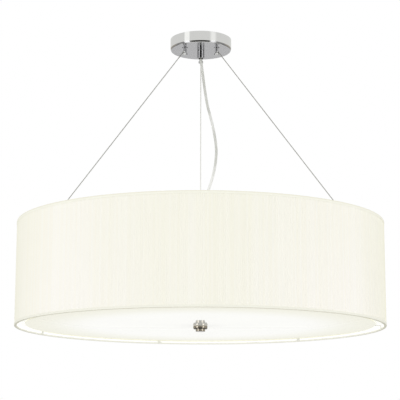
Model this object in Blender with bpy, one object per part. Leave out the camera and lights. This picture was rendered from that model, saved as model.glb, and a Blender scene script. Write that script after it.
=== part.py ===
"""Drum pendant light: a ceiling canopy, three steel suspension wires, a flex, and a wide pleated drum
shade with an opal diffuser under six lamps.

Metres, +Z up. The origin is the middle of the ceiling bracket's top face, where the light is fixed, so
everything hangs at negative Z. -Y is the front. Azimuths are counted from the front, positive towards +X.
"""

import math

import bmesh
import bpy
import numpy as np
from mathutils import Matrix, Vector

# Gaps and tolerances
SEAT_GAP = 0.0003           # between pieces that rest on each other
CUT_OVERRUN = 0.002         # how far a cutter runs past the face that it opens
MERGE_DISTANCE = 0.000001   # points closer than this are one point

# Overall sizes
SUSPENSION_DROP = 0.4806    # ceiling to the shade's top edge
SHADE_RADIUS = 0.450        # pleated cover, outside
SHADE_HEIGHT = 0.2526       # top edge to bottom edge

# Number of sides of the turned pieces
DRUM_SIDES = 48
CANOPY_SIDES = 44
BODY_SIDES = 24
FITTING_SIDES = 12
BULB_SIDES = 12
LAMP_ARM_SIDES = 10
HOLE_SIDES = 8
WIRE_SIDES = 6
RING_SECTION_SIDES = 5
HEX_SIDES = 6
CORNER_STEPS = 2            # chords in a rounded corner
CURVE_STEPS = 12            # between two points of the flex's route
FLEX_ARC_STEPS = 2
SMOOTH_ANGLE = 35.0         # edges flatter than this are shaded smooth

# Shade
COVER_THICKNESS = 0.0006
LINING_THICKNESS = 0.0008
RING_WIRE_RADIUS = 0.0015
HEM_THICKNESS = 0.0004
HEM_HEIGHT = 0.006          # outer leg of the rolled edge tape
HEM_INNER_HEIGHT = 0.0026   # inner leg, which wraps the ring

# Ceiling canopy
CANOPY_RADIUS = 0.077
CANOPY_HEIGHT = 0.0286
CANOPY_WALL = 0.0012
CANOPY_EDGE_RADIUS = 0.003

# Ceiling bracket
BRACKET_WIDTH = 0.025
BRACKET_THICKNESS = 0.002
BRACKET_EAR_DROP = 0.015
BRACKET_HOLE_SPACING = 0.0508
BRACKET_HOLE_RADIUS = 0.0025

# Grub screws that hold the canopy to the bracket's ears
CANOPY_SCREW_RADIUS = 0.002
CANOPY_SCREW_LENGTH = 0.006
CANOPY_SCREW_DROP = 0.0095
CANOPY_SCREW_SOCKET_RADIUS = 0.001
CANOPY_SCREW_SOCKET_DEPTH = 0.0015

# Terminal block under the bracket
TERMINAL_LENGTH = 0.034
TERMINAL_WIDTH = 0.018
TERMINAL_HEIGHT = 0.012
TERMINAL_POLES = 3
TERMINAL_BORE_RADIUS = 0.0019
TERMINAL_WELL_RADIUS = 0.0022
TERMINAL_WELL_DEPTH = 0.003
TERMINAL_WELL_SHARE = 0.27  # of the width, from the middle to a row of screw wells

# Supply flex and its glands
FLEX_RADIUS = 0.0033
GLAND_STEM_RADIUS = 0.005
GLAND_STEM_BORE_RADIUS = 0.0037
GLAND_STEM_LENGTH = 0.014   # below the canopy
GLAND_STEM_RISE = 0.009     # above the canopy's floor
GLAND_NUT_RADIUS = 0.009
GLAND_NUT_HEIGHT = 0.020
GLAND_EDGE = 0.0006
GLAND_INSERT_LIP = 0.0016   # how far the insert shows below the nut
GLAND_INSERT_WALL = 0.0014
GLAND_INSERT_LIP_WIDTH = 0.0006
FLEX_SOCKET_DEPTH = 0.004
LOWER_GLAND_RADIUS = 0.008
LOWER_GLAND_HEIGHT = 0.022
FLEX_POINT_SPACING = 0.016
# The flex's route between its two glands, as (x, z), chosen by hand from the photograph
FLEX_ROUTE = (
    (0.0006, -0.058), (0.0022, -0.069), (0.0055, -0.094), (0.0087, -0.120), (0.0124, -0.146),
    (0.0170, -0.172), (0.0235, -0.198), (0.0299, -0.224), (0.0349, -0.250), (0.0382, -0.274),
    (0.0391, -0.294), (0.0377, -0.314), (0.0342, -0.338), (0.0288, -0.360), (0.0228, -0.379),
    (0.0160, -0.397), (0.0094, -0.415), (0.0044, -0.432), (0.0012, -0.449), (0.0001, -0.460),
)

# Cable posts: a flange, a slim neck with the wire's bore, and a clamping cap
TOP_POST_CIRCLE = 0.046     # radius of the circle that the canopy's posts stand on
LOWER_POST_INSET = 0.056    # from the shade's outside in to the lower posts' axes
POST_STUD_RADIUS = 0.003
POST_STUD_LENGTH = 0.0075
POST_FLANGE_RADIUS = 0.0072
POST_FLANGE_HEIGHT = 0.0014
POST_NECK_RADIUS = 0.004
POST_NECK_END = 0.0119      # from the face that the post stands on
POST_SPIGOT_RADIUS = 0.0026
POST_SPIGOT_LENGTH = 0.0045
CAP_RADIUS = 0.0061
CAP_SHOULDER_HEIGHT = 0.0022
CAP_HEIGHT = 0.0066
CAP_EDGE = 0.0006
WIRE_RADIUS = 0.001
WIRE_ENTRY = 0.0045         # height on the post's axis that the wire's line crosses
WIRE_SEAT_SHARE = 0.35      # of the neck's radius, from the post's axis to the wire's end

# Nuts
POST_NUT_RADIUS = 0.0052    # round nut on a post's stud
POST_NUT_HEIGHT = 0.004
ROD_NUT_RADIUS = 0.0085     # hexagon nut, over the corners
ROD_NUT_HEIGHT = 0.005

# Carrier: a plate on the centre rod, and three arms out to the shade's top ring
ARM_RECESS = 0.0186         # arms' top face below the shade's top edge
ARM_WIDTH = 0.020
ARM_THICKNESS = 0.003
ARM_INNER_END = 0.0145
ARM_RAMP_RUN = 0.020        # length of the slope up to the ring's seat
ARM_SEAT_LENGTH = 0.003     # under the ring, inside of its middle
ARM_SEAT_OVERHANG_SHARE = 0.3   # of the ring wire's radius, past its middle
ARM_LIP_WIDTH = 0.003
ARM_LIP_HEIGHT = 0.0024
PLATE_RADIUS = 0.050
PLATE_THICKNESS = 0.003
RIVET_RADIUS = 0.002
RIVET_HEAD_RADIUS = 0.004
RIVET_HEAD_HEIGHT = 0.0016
RIVET_SHARES = (0.30, 0.80) # of the way from the arm's inner end to the plate's edge

# Centre rod and lamp body
ROD_RADIUS = 0.005
ROD_COLLAR_RADIUS = 0.008
ROD_RISE = 0.013            # above the upper nut
LAMP_BODY_RADIUS = 0.055
LAMP_BODY_HEIGHT = 0.032
LAMP_BODY_WALL = 0.0015
LAMP_BODY_EDGE = 0.003
LAMP_COVER_THICKNESS = 0.0015
LAMP_HEIGHT_SHARE = 0.594   # of the shade's height, from its bottom edge to the lamps' axes

# Lamps
LAMP_COUNT = 6
LAMP_FIRST_AZIMUTH = 30.0
LAMP_ARM_RADIUS = 0.005
LAMP_ARM_LENGTH = 0.055     # lamp body to lampholder
LAMP_ARM_FLANGE_RADIUS = 0.009
LAMP_ARM_FLANGE_THICKNESS = 0.002
LAMP_SPIGOT_RADIUS = 0.004
LAMP_SPIGOT_LENGTH = 0.0065
HOLDER_RADIUS = 0.019
HOLDER_LENGTH = 0.046
HOLDER_BACK_RADIUS = 0.012
HOLDER_BACK_THICKNESS = 0.003
HOLDER_TAPER = 0.012
HOLDER_MOUTH_LENGTH = 0.014
HOLDER_GROOVE = 0.0012
SOCKET_CLEARANCE = 0.0006
BULB_CAP_RADIUS = 0.0129
BULB_CAP_LENGTH = 0.024
BULB_TIP_RADIUS = 0.004
BULB_TIP_LENGTH = 0.003
BULB_NECK_RADIUS = 0.0145
BULB_NECK_LENGTH = 0.004
BULB_RADIUS = 0.030
BULB_LENGTH = 0.108
BULB_BLEND_ANGLE = 130.0    # where the neck's slope meets the globe, from the bulb's crown
BULB_ARC_STEPS = 4

# Diffuser, finial and edge clips
DIFFUSER_MARGIN = 0.025     # from the shade's outside in to the diffuser's edge
DIFFUSER_THICKNESS = 0.003
DIFFUSER_RECESS = 0.0052    # its underside above the shade's bottom edge
DIFFUSER_HOLE_CLEARANCE = 0.0005
FINIAL_RADIUS = 0.0175
FINIAL_KNOB_HEIGHT = 0.0076
FINIAL_STEP_RADIUS = 0.0115
FINIAL_STEP_HEIGHT = 0.0056
FINIAL_EDGE = 0.0008
FINIAL_BORE_DEPTH = 0.0085
CLIP_COUNT = 7
CLIP_FIRST_AZIMUTH = 92.0
CLIP_WIDTH = 0.009
CLIP_THICKNESS = 0.0008
CLIP_OVERLAP = 0.004        # tongue over the diffuser's edge
CLIP_LEG_FOOT = 0.001       # leg's foot above the shade's bottom edge
CLIP_WELD_SHARE = 0.5       # of the ring wire's radius, past its middle

# Heights that everything else is placed from
CANOPY_UNDERSIDE = -CANOPY_HEIGHT
CANOPY_FLOOR = CANOPY_UNDERSIDE + CANOPY_WALL
SHADE_TOP = -SUSPENSION_DROP
SHADE_BOTTOM = SHADE_TOP - SHADE_HEIGHT
ARM_TOP = SHADE_TOP - ARM_RECESS
PLATE_TOP = ARM_TOP - ARM_THICKNESS - SEAT_GAP
PLATE_BOTTOM = PLATE_TOP - PLATE_THICKNESS
LAMP_AXIS = SHADE_BOTTOM + LAMP_HEIGHT_SHARE * SHADE_HEIGHT
LAMP_BODY_TOP = LAMP_AXIS + LAMP_BODY_HEIGHT / 2
LAMP_BODY_BOTTOM = LAMP_AXIS - LAMP_BODY_HEIGHT / 2
DIFFUSER_UNDERSIDE = SHADE_BOTTOM + DIFFUSER_RECESS
DIFFUSER_TOP = DIFFUSER_UNDERSIDE + DIFFUSER_THICKNESS
FINIAL_TOP = DIFFUSER_UNDERSIDE - SEAT_GAP
ROD_BOTTOM = FINIAL_TOP - FINIAL_BORE_DEPTH + SEAT_GAP
ROD_NUT_TOP = PLATE_TOP + SEAT_GAP + ROD_NUT_HEIGHT
ROD_TOP = ROD_NUT_TOP + ROD_RISE
GLAND_BOTTOM = CANOPY_UNDERSIDE - SEAT_GAP - GLAND_NUT_HEIGHT
INSERT_BOTTOM = GLAND_BOTTOM - GLAND_INSERT_LIP
LOWER_GLAND_BOTTOM = ROD_NUT_TOP + SEAT_GAP
LOWER_GLAND_TOP = LOWER_GLAND_BOTTOM + LOWER_GLAND_HEIGHT

# Circles that follow the shade's outside
LOWER_POST_CIRCLE = SHADE_RADIUS - LOWER_POST_INSET
DIFFUSER_RADIUS = SHADE_RADIUS - DIFFUSER_MARGIN

# Radii of the shade's layers, from the outside in
LINING_OUTER = SHADE_RADIUS - COVER_THICKNESS - SEAT_GAP
LINING_INNER = LINING_OUTER - LINING_THICKNESS
RING_MIDDLE = LINING_INNER - SEAT_GAP - RING_WIRE_RADIUS
HEM_OUTER = SHADE_RADIUS + SEAT_GAP + HEM_THICKNESS
HEM_INNER = RING_MIDDLE - RING_WIRE_RADIUS - SEAT_GAP - HEM_THICKNESS
SHADE_WALL_END = HEM_THICKNESS + SEAT_GAP   # cover and lining stop this far inside the edges

# The suspension: azimuths from the front, and the wires' slope in their own upright plane
SIDES = {"right": 60.0, "left": -60.0, "rear": 180.0}
WIRE_TOP = Vector((TOP_POST_CIRCLE, 0.0, CANOPY_UNDERSIDE - WIRE_ENTRY))
WIRE_FOOT = Vector((LOWER_POST_CIRCLE, 0.0, ARM_TOP + WIRE_ENTRY))
WIRE_LINE = (WIRE_FOOT - WIRE_TOP).normalized()


def clear_scene():
    """Empty the scene before the light is built."""
    for old in list(bpy.data.objects):
        bpy.data.objects.remove(old, do_unlink=True)


def flat_radius(radius, sides):
    """Distance from the axis to the middle of a side, on a turned piece with this many sides."""
    return radius * math.cos(math.pi / sides)


def heading(azimuth):
    """Turn about Z that carries +X to this azimuth, counted in degrees from the front."""
    return math.radians(azimuth - 90.0)


def make_material(name, colour, roughness, metallic=0.0):
    """One Principled material for one piece."""
    material = bpy.data.materials.new(name)
    material.use_nodes = True
    shader = material.node_tree.nodes["Principled BSDF"]
    shader.inputs["Base Color"].default_value = (*colour, 1.0)
    shader.inputs["Roughness"].default_value = roughness
    shader.inputs["Metallic"].default_value = metallic
    material.diffuse_color = (*colour, 1.0)
    return material


CHROME = ((0.80, 0.80, 0.82), 0.08, 1.0)
ZINC = ((0.62, 0.63, 0.65), 0.35, 1.0)
WIRE_STEEL = ((0.55, 0.55, 0.56), 0.30, 1.0)
WHITE_ENAMEL = ((0.92, 0.92, 0.90), 0.35, 0.0)
WHITE_PLASTIC = ((0.93, 0.93, 0.91), 0.30, 0.0)
CLEAR_FLEX = ((0.86, 0.86, 0.84), 0.25, 0.0)
DARK_RUBBER = ((0.10, 0.10, 0.10), 0.60, 0.0)
IVORY_FABRIC = ((0.95, 0.92, 0.80), 0.80, 0.0)
WHITE_LINING = ((0.96, 0.96, 0.93), 0.45, 0.0)
OPAL_ACRYLIC = ((0.96, 0.97, 0.92), 0.08, 0.0)
OPAL_GLASS = ((0.97, 0.96, 0.92), 0.20, 0.0)


def place(name, mesh, finish, location=(0.0, 0.0, 0.0), rotation=(0.0, 0.0, 0.0)):
    """Put a mesh in the scene as the named piece, with its own material."""
    mesh.materials.append(make_material(name, *finish))
    piece = bpy.data.objects.new(name, mesh)
    piece.location = location
    piece.rotation_euler = rotation
    bpy.context.scene.collection.objects.link(piece)
    return piece


def finish_mesh(bm, name):
    """Write a bmesh out as a mesh that is smooth across its shallow edges and sharp at its corners."""
    bmesh.ops.recalc_face_normals(bm, faces=bm.faces)
    mesh = bpy.data.meshes.new(name)
    bm.to_mesh(mesh)
    bm.free()
    mesh.shade_smooth()
    mesh.set_sharp_from_angle(angle=math.radians(SMOOTH_ANGLE))
    return mesh


def turn(bm, outline, sides, closed=True):
    """Spin an outline of (radius, height) points about Z. An open outline has both ends on the axis."""
    verts = [bm.verts.new((radius, 0.0, height)) for radius, height in outline]
    edges = [bm.edges.new(pair) for pair in zip(verts, verts[1:])]
    if closed:
        edges.append(bm.edges.new((verts[-1], verts[0])))
    bmesh.ops.spin(bm, geom=verts + edges, cent=(0.0, 0.0, 0.0), axis=(0.0, 0.0, 1.0),
                   angle=math.tau, steps=sides, use_merge=True)
    bmesh.ops.remove_doubles(bm, verts=bm.verts, dist=MERGE_DISTANCE)


def turned(name, outline, sides, closed=True):
    """A turned piece as a mesh."""
    bm = bmesh.new()
    turn(bm, outline, sides, closed)
    return finish_mesh(bm, name)


def extrude_outline(bm, outline, width):
    """Push an outline of (x, z) points out to a plate, centred on Y."""
    face = bm.faces.new([bm.verts.new((x, -width / 2, z)) for x, z in outline])
    grown = bmesh.ops.extrude_face_region(bm, geom=[face])
    moved = [item for item in grown["geom"] if isinstance(item, bmesh.types.BMVert)]
    bmesh.ops.translate(bm, verts=moved, vec=(0.0, width, 0.0))


def add_rod(bm, start, end, radius, sides):
    """A round bar between two points."""
    start, end = Vector(start), Vector(end)
    run = end - start
    tilt = run.to_track_quat("Z", "Y").to_matrix().to_4x4()
    bmesh.ops.create_cone(bm, cap_ends=True, segments=sides, radius1=radius, radius2=radius,
                          depth=run.length, matrix=Matrix.Translation((start + end) / 2) @ tilt)


def add_copy(bm, single):
    """Add one bmesh's shape to another and free it."""
    mesh = bpy.data.meshes.new("copy")
    single.to_mesh(mesh)
    single.free()
    bm.from_mesh(mesh)
    bpy.data.meshes.remove(mesh)


def add_turned_copy(bm, outline, sides, offset):
    """Turn an open outline about Z and add it, moved by the offset, to a bmesh that holds other shapes."""
    single = bmesh.new()
    turn(single, outline, sides, closed=False)
    bmesh.ops.translate(single, verts=single.verts, vec=offset)
    add_copy(bm, single)


def add_nut(bm, centre, corner_radius, hole_radius, height):
    """A hexagon nut, lower face at the centre point. Its rays end at corners and mid-sides by turns."""
    rays = 2 * HEX_SIDES
    rings = []
    for is_outer in (True, False):
        for level in (0.0, height):
            ring = []
            for ray in range(rays):
                angle = math.tau * ray / rays
                side_reach = corner_radius if ray % 2 == 0 else flat_radius(corner_radius, HEX_SIDES)
                reach = side_reach if is_outer else hole_radius
                offset = Vector((reach * math.cos(angle), reach * math.sin(angle), level))
                ring.append(bm.verts.new(Vector(centre) + offset))
            rings.append(ring)
    outer_low, outer_high, inner_low, inner_high = rings
    for ring_a, ring_b in ((outer_low, outer_high), (outer_high, inner_high),
                           (inner_high, inner_low), (inner_low, outer_low)):
        for ray in range(rays):
            following = (ray + 1) % rays
            bm.faces.new((ring_a[ray], ring_a[following], ring_b[following], ring_b[ray]))


def combine(piece, fill_tool, operation, label):
    """Cut or join a piece with the shapes that fill_tool draws in the piece's own frame."""
    bm = bmesh.new()
    fill_tool(bm)
    tool = bpy.data.objects.new(f"{piece.name}_{label}", finish_mesh(bm, f"{piece.name}_{label}"))
    tool.matrix_basis = piece.matrix_basis.copy()
    tool.hide_render = True
    tool.display_type = "WIRE"
    bpy.context.scene.collection.objects.link(tool)
    boolean = piece.modifiers.new(label, "BOOLEAN")
    boolean.operation = operation
    boolean.solver = "EXACT"
    boolean.object = tool


def cut(piece, fill_cutter):
    """Take the drawn shapes out of a piece."""
    combine(piece, fill_cutter, "DIFFERENCE", "holes")


def join(piece, fill_addition):
    """Weld the drawn shapes on to a piece."""
    combine(piece, fill_addition, "UNION", "welded")


def rounded(corner, toward_start, toward_end, radius):
    """Points of a quarter round at a corner between two outline directions, as a list."""
    centre = (corner[0] + radius * (toward_start[0] + toward_end[0]),
              corner[1] + radius * (toward_start[1] + toward_end[1]))
    points = []
    for step in range(CORNER_STEPS + 1):
        angle = math.pi / 2 * step / CORNER_STEPS
        along, across = math.sin(angle), math.cos(angle)
        points.append((centre[0] - radius * (toward_end[0] * across + toward_start[0] * along),
                       centre[1] - radius * (toward_end[1] * across + toward_start[1] * along)))
    return points


def build_ceiling_bracket():
    """Steel strap with two fixing holes; its ears turn down inside the canopy to take the grub screws."""
    ear_outer = flat_radius(CANOPY_RADIUS - CANOPY_WALL, CANOPY_SIDES) - SEAT_GAP * 2
    ear_outer = math.sqrt(ear_outer ** 2 - (BRACKET_WIDTH / 2) ** 2)
    ear_inner = ear_outer - BRACKET_THICKNESS
    outline = [
        (-ear_outer, 0.0), (-ear_outer, -BRACKET_EAR_DROP), (-ear_inner, -BRACKET_EAR_DROP),
        (-ear_inner, -BRACKET_THICKNESS), (ear_inner, -BRACKET_THICKNESS), (ear_inner, -BRACKET_EAR_DROP),
        (ear_outer, -BRACKET_EAR_DROP), (ear_outer, 0.0),
    ]
    bm = bmesh.new()
    extrude_outline(bm, outline, BRACKET_WIDTH)
    bracket = place("ceiling_bracket", finish_mesh(bm, "ceiling_bracket"), ZINC)

    def holes(bm):
        for side in (-1, 1):
            x = side * BRACKET_HOLE_SPACING / 2
            add_rod(bm, (x, 0.0, -BRACKET_THICKNESS - CUT_OVERRUN), (x, 0.0, CUT_OVERRUN),
                    BRACKET_HOLE_RADIUS, HOLE_SIDES)
            add_rod(bm, (side * (ear_inner - CUT_OVERRUN), 0.0, -CANOPY_SCREW_DROP),
                    (side * (ear_outer + CUT_OVERRUN), 0.0, -CANOPY_SCREW_DROP),
                    CANOPY_SCREW_RADIUS + SEAT_GAP, HOLE_SIDES)
    cut(bracket, holes)


def build_terminal_block():
    """Three-pole connector under the strap: a wire bore and two screw wells for each pole."""
    top = -BRACKET_THICKNESS - SEAT_GAP
    middle = top - TERMINAL_HEIGHT / 2
    bm = bmesh.new()
    half = TERMINAL_LENGTH / 2
    extrude_outline(bm, [(-half, -TERMINAL_HEIGHT / 2), (half, -TERMINAL_HEIGHT / 2),
                         (half, TERMINAL_HEIGHT / 2), (-half, TERMINAL_HEIGHT / 2)], TERMINAL_WIDTH)
    block = place("terminal_block", finish_mesh(bm, "terminal_block"), WHITE_PLASTIC,
                  location=(0.0, 0.0, middle))

    def holes(bm):
        for pole in range(TERMINAL_POLES):
            x = half * (2 * pole + 1 - TERMINAL_POLES) / TERMINAL_POLES
            reach = TERMINAL_WIDTH / 2 + CUT_OVERRUN
            add_rod(bm, (x, -reach, 0.0), (x, reach, 0.0), TERMINAL_BORE_RADIUS, HOLE_SIDES)
            for side in (-1, 1):
                y = side * TERMINAL_WELL_SHARE * TERMINAL_WIDTH
                floor = -TERMINAL_HEIGHT / 2
                add_rod(bm, (x, y, floor - CUT_OVERRUN), (x, y, floor + TERMINAL_WELL_DEPTH),
                        TERMINAL_WELL_RADIUS, HOLE_SIDES)
    cut(block, holes)


def build_canopy():
    """Spun cup with a rounded lower edge, open at the ceiling, drilled for the gland, posts and screws."""
    top = -SEAT_GAP
    gland_hole = GLAND_STEM_RADIUS + SEAT_GAP
    inner = CANOPY_RADIUS - CANOPY_WALL
    lower_edge = rounded((CANOPY_RADIUS, CANOPY_UNDERSIDE), (0, 1), (-1, 0), CANOPY_EDGE_RADIUS)
    outline = [(CANOPY_RADIUS, top)] + lower_edge + [
        (gland_hole, CANOPY_UNDERSIDE), (gland_hole, CANOPY_FLOOR),
        (inner - CANOPY_EDGE_RADIUS, CANOPY_FLOOR), (inner, CANOPY_FLOOR + CANOPY_EDGE_RADIUS),
        (inner, top),
    ]
    canopy = place("canopy_cup", turned("canopy_cup", outline, CANOPY_SIDES), CHROME)

    def holes(bm):
        for azimuth in SIDES.values():
            spot = Matrix.Rotation(heading(azimuth), 3, "Z") @ Vector((TOP_POST_CIRCLE, 0.0, 0.0))
            low = Vector((spot.x, spot.y, CANOPY_UNDERSIDE - CUT_OVERRUN))
            high = Vector((spot.x, spot.y, CANOPY_FLOOR + CUT_OVERRUN))
            add_rod(bm, low, high, POST_STUD_RADIUS + SEAT_GAP, HOLE_SIDES)
        for side in (-1, 1):
            add_rod(bm, (side * (inner - CUT_OVERRUN), 0.0, -CANOPY_SCREW_DROP),
                    (side * (CANOPY_RADIUS + CUT_OVERRUN), 0.0, -CANOPY_SCREW_DROP),
                    CANOPY_SCREW_RADIUS + SEAT_GAP, HOLE_SIDES)
    cut(canopy, holes)


def build_canopy_screws():
    """Two socket grub screws, flush in the canopy's side, each turning about its own X axis."""
    length, socket = CANOPY_SCREW_LENGTH, CANOPY_SCREW_SOCKET_RADIUS
    outline = [(0.0, -length), (CANOPY_SCREW_RADIUS, -length), (CANOPY_SCREW_RADIUS, 0.0), (socket, 0.0),
               (socket, -CANOPY_SCREW_SOCKET_DEPTH), (0.0, -CANOPY_SCREW_SOCKET_DEPTH)]
    for name, side in (("canopy_screw_left", -1), ("canopy_screw_right", 1)):
        place(name, turned(name, outline, HOLE_SIDES, closed=False), CHROME,
              location=(side * CANOPY_RADIUS, 0.0, -CANOPY_SCREW_DROP),
              rotation=(0.0, side * math.pi / 2, 0.0))


def build_upper_gland():
    """Cord grip under the canopy: hollow threaded stem, locknut, plain round nut and dark insert."""
    stem_top = CANOPY_FLOOR + GLAND_STEM_RISE
    stem_bottom = CANOPY_UNDERSIDE - GLAND_STEM_LENGTH
    stem = [(GLAND_STEM_BORE_RADIUS, stem_top), (GLAND_STEM_RADIUS, stem_top),
            (GLAND_STEM_RADIUS, stem_bottom), (GLAND_STEM_BORE_RADIUS, stem_bottom)]
    place("gland_stem", turned("gland_stem", stem, FITTING_SIDES), ZINC)

    bm = bmesh.new()
    bore = GLAND_STEM_RADIUS + SEAT_GAP
    add_nut(bm, (0.0, 0.0, CANOPY_FLOOR + SEAT_GAP), ROD_NUT_RADIUS, bore, ROD_NUT_HEIGHT)
    place("gland_locknut", finish_mesh(bm, "gland_locknut"), ZINC)

    nut_top = CANOPY_UNDERSIDE - SEAT_GAP
    insert_outer = FLEX_RADIUS + SEAT_GAP + GLAND_INSERT_WALL
    throat = insert_outer + SEAT_GAP
    nut = [(bore, nut_top), (GLAND_NUT_RADIUS, nut_top), (GLAND_NUT_RADIUS, GLAND_BOTTOM + GLAND_EDGE),
           (GLAND_NUT_RADIUS - GLAND_EDGE, GLAND_BOTTOM), (throat, GLAND_BOTTOM),
           (throat, stem_bottom - SEAT_GAP), (bore, stem_bottom - SEAT_GAP)]
    place("gland_nut", turned("gland_nut", nut, BODY_SIDES), CHROME)

    insert_top = stem_bottom - SEAT_GAP * 2
    lip_top = GLAND_BOTTOM - SEAT_GAP
    lip_radius = insert_outer + GLAND_INSERT_LIP_WIDTH
    socket_top = INSERT_BOTTOM + FLEX_SOCKET_DEPTH
    insert = [(0.0, insert_top), (insert_outer, insert_top), (insert_outer, lip_top),
              (lip_radius, lip_top), (lip_radius, INSERT_BOTTOM), (FLEX_RADIUS + SEAT_GAP, INSERT_BOTTOM),
              (FLEX_RADIUS + SEAT_GAP, socket_top), (0.0, socket_top)]
    place("gland_insert", turned("gland_insert", insert, FITTING_SIDES, closed=False), DARK_RUBBER)


def build_lower_gland():
    """Cord grip that screws on to the top of the centre rod and takes the flex."""
    bore = ROD_RADIUS + SEAT_GAP
    socket = FLEX_RADIUS + SEAT_GAP
    socket_floor = LOWER_GLAND_TOP - FLEX_SOCKET_DEPTH
    shoulder = LOWER_GLAND_TOP - LOWER_GLAND_RADIUS + socket
    outline = [
        (0.0, ROD_TOP + SEAT_GAP), (bore, ROD_TOP + SEAT_GAP), (bore, LOWER_GLAND_BOTTOM),
        (LOWER_GLAND_RADIUS, LOWER_GLAND_BOTTOM), (LOWER_GLAND_RADIUS, shoulder),
        (socket + GLAND_EDGE, LOWER_GLAND_TOP), (socket, LOWER_GLAND_TOP), (socket, socket_floor),
        (0.0, socket_floor),
    ]
    place("lower_gland", turned("lower_gland", outline, FITTING_SIDES, closed=False), WHITE_PLASTIC)


def smooth_route(points, spacing):
    """Points at an even spacing along a smooth curve through the route's points."""
    knots = np.array(points)
    travel = np.concatenate(([0.0], np.cumsum(np.linalg.norm(np.diff(knots, axis=0), axis=1))))
    slopes = np.gradient(knots, travel, axis=0)
    fine = []
    for start in range(len(knots) - 1):
        span = travel[start + 1] - travel[start]
        for u in np.linspace(0.0, 1.0, CURVE_STEPS, endpoint=False):
            fine.append((1 + 2 * u) * (1 - u) ** 2 * knots[start]
                        + u * (1 - u) ** 2 * span * slopes[start]
                        + u * u * (3 - 2 * u) * knots[start + 1]
                        + u * u * (u - 1) * span * slopes[start + 1])
    fine = np.array(fine + [knots[-1]])
    length = np.concatenate(([0.0], np.cumsum(np.linalg.norm(np.diff(fine, axis=0), axis=1))))
    count = max(2, round(length[-1] / spacing) + 1)
    stops = np.linspace(0.0, length[-1], count)
    return [[np.interp(stop, length, fine[:, axis]) for axis in range(3)] for stop in stops]


def build_supply_flex():
    """Clear round flex from the canopy's gland to the rod's gland, hanging in a slack bow to the right."""
    top_end = INSERT_BOTTOM + FLEX_SOCKET_DEPTH - SEAT_GAP
    foot_end = LOWER_GLAND_TOP - FLEX_SOCKET_DEPTH + SEAT_GAP
    route = [(0.0, 0.0, top_end), (0.0, 0.0, INSERT_BOTTOM)]
    route += [(x, 0.0, z) for x, z in FLEX_ROUTE]
    route += [(0.0, 0.0, LOWER_GLAND_TOP), (0.0, 0.0, foot_end)]
    points = smooth_route(route, FLEX_POINT_SPACING)
    curve = bpy.data.curves.new("supply_flex", "CURVE")
    curve.dimensions = "3D"
    curve.bevel_depth = FLEX_RADIUS
    curve.bevel_resolution = FLEX_ARC_STEPS
    curve.use_fill_caps = True
    spline = curve.splines.new("POLY")
    spline.points.add(len(points) - 1)
    for spline_point, (x, y, z) in zip(spline.points, points):
        spline_point.co = (x, y, z, 1.0)
    place("supply_flex", curve, CLEAR_FLEX)


def cap_outline(start, end_sign):
    """Outer points of a clamping cap from its shoulder outwards; end_sign is the way it points along Z."""
    shoulder = start + end_sign * CAP_SHOULDER_HEIGHT
    end = start + end_sign * CAP_HEIGHT
    return [(POST_NECK_RADIUS, start), (CAP_RADIUS, shoulder), (CAP_RADIUS, end - end_sign * CAP_EDGE),
            (CAP_RADIUS - CAP_EDGE, end), (0.0, end)]


def stud_outline(panel):
    """A post's points from its stud's tip, past the nut and the panel it is clamped to, to its flange."""
    nut_face = -panel - SEAT_GAP
    nut_end = nut_face - POST_NUT_HEIGHT
    tip = -panel - POST_STUD_LENGTH
    return [(0.0, tip), (POST_STUD_RADIUS, tip), (POST_STUD_RADIUS, nut_end), (POST_NUT_RADIUS, nut_end),
            (POST_NUT_RADIUS, nut_face), (POST_STUD_RADIUS, nut_face), (POST_STUD_RADIUS, SEAT_GAP),
            (POST_FLANGE_RADIUS, SEAT_GAP), (POST_FLANGE_RADIUS, POST_FLANGE_HEIGHT),
            (POST_NECK_RADIUS, POST_FLANGE_HEIGHT)]


def wire_bore(bm, entry_height, down):
    """Bore in a post's neck along the wire's line, in the post's frame, with +X away from the axis."""
    slope = WIRE_LINE * (1.0 if down else -1.0)
    start_offset = WIRE_SEAT_SHARE * POST_NECK_RADIUS
    start = Vector((0.0, 0.0, entry_height)) + slope * (start_offset / abs(slope.x))
    end = start + slope * ((POST_NECK_RADIUS + CUT_OVERRUN) / abs(slope.x))
    add_rod(bm, start, end, WIRE_RADIUS + SEAT_GAP, WIRE_SIDES)


def build_posts():
    """Cable posts under the canopy and on the carrier arms, with their nuts, and the upper posts' caps."""
    gap = SEAT_GAP
    neck_end = POST_NECK_END
    spigot_end = neck_end + POST_SPIGOT_LENGTH
    upper = [(radius, -height) for radius, height in stud_outline(CANOPY_WALL)] + [
        (POST_NECK_RADIUS, -neck_end), (POST_SPIGOT_RADIUS, -neck_end), (POST_SPIGOT_RADIUS, -spigot_end),
        (0.0, -spigot_end)]
    lower = stud_outline(ARM_THICKNESS) + cap_outline(neck_end, 1)
    cap_top = -neck_end - gap
    bore = POST_SPIGOT_RADIUS + gap
    bore_end = -spigot_end - gap
    cap = [(0.0, bore_end), (bore, bore_end), (bore, cap_top)] + cap_outline(cap_top, -1)
    for side, azimuth in SIDES.items():
        rotation = (0.0, 0.0, heading(azimuth))
        turned_to = Matrix.Rotation(heading(azimuth), 3, "Z")
        top_spot = turned_to @ Vector((TOP_POST_CIRCLE, 0.0, CANOPY_UNDERSIDE))
        low_spot = turned_to @ Vector((LOWER_POST_CIRCLE, 0.0, ARM_TOP))
        name = "top_post_" + side
        top_post = place(name, turned(name, upper, FITTING_SIDES, closed=False), CHROME, top_spot, rotation)
        cut(top_post, lambda bm: wire_bore(bm, -WIRE_ENTRY, True))
        name = "lower_post_" + side
        low_post = place(name, turned(name, lower, FITTING_SIDES, closed=False), CHROME, low_spot, rotation)
        cut(low_post, lambda bm: wire_bore(bm, WIRE_ENTRY, False))
        name = "top_cap_" + side
        place(name, turned(name, cap, FITTING_SIDES, closed=False), CHROME, top_spot, rotation)


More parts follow.
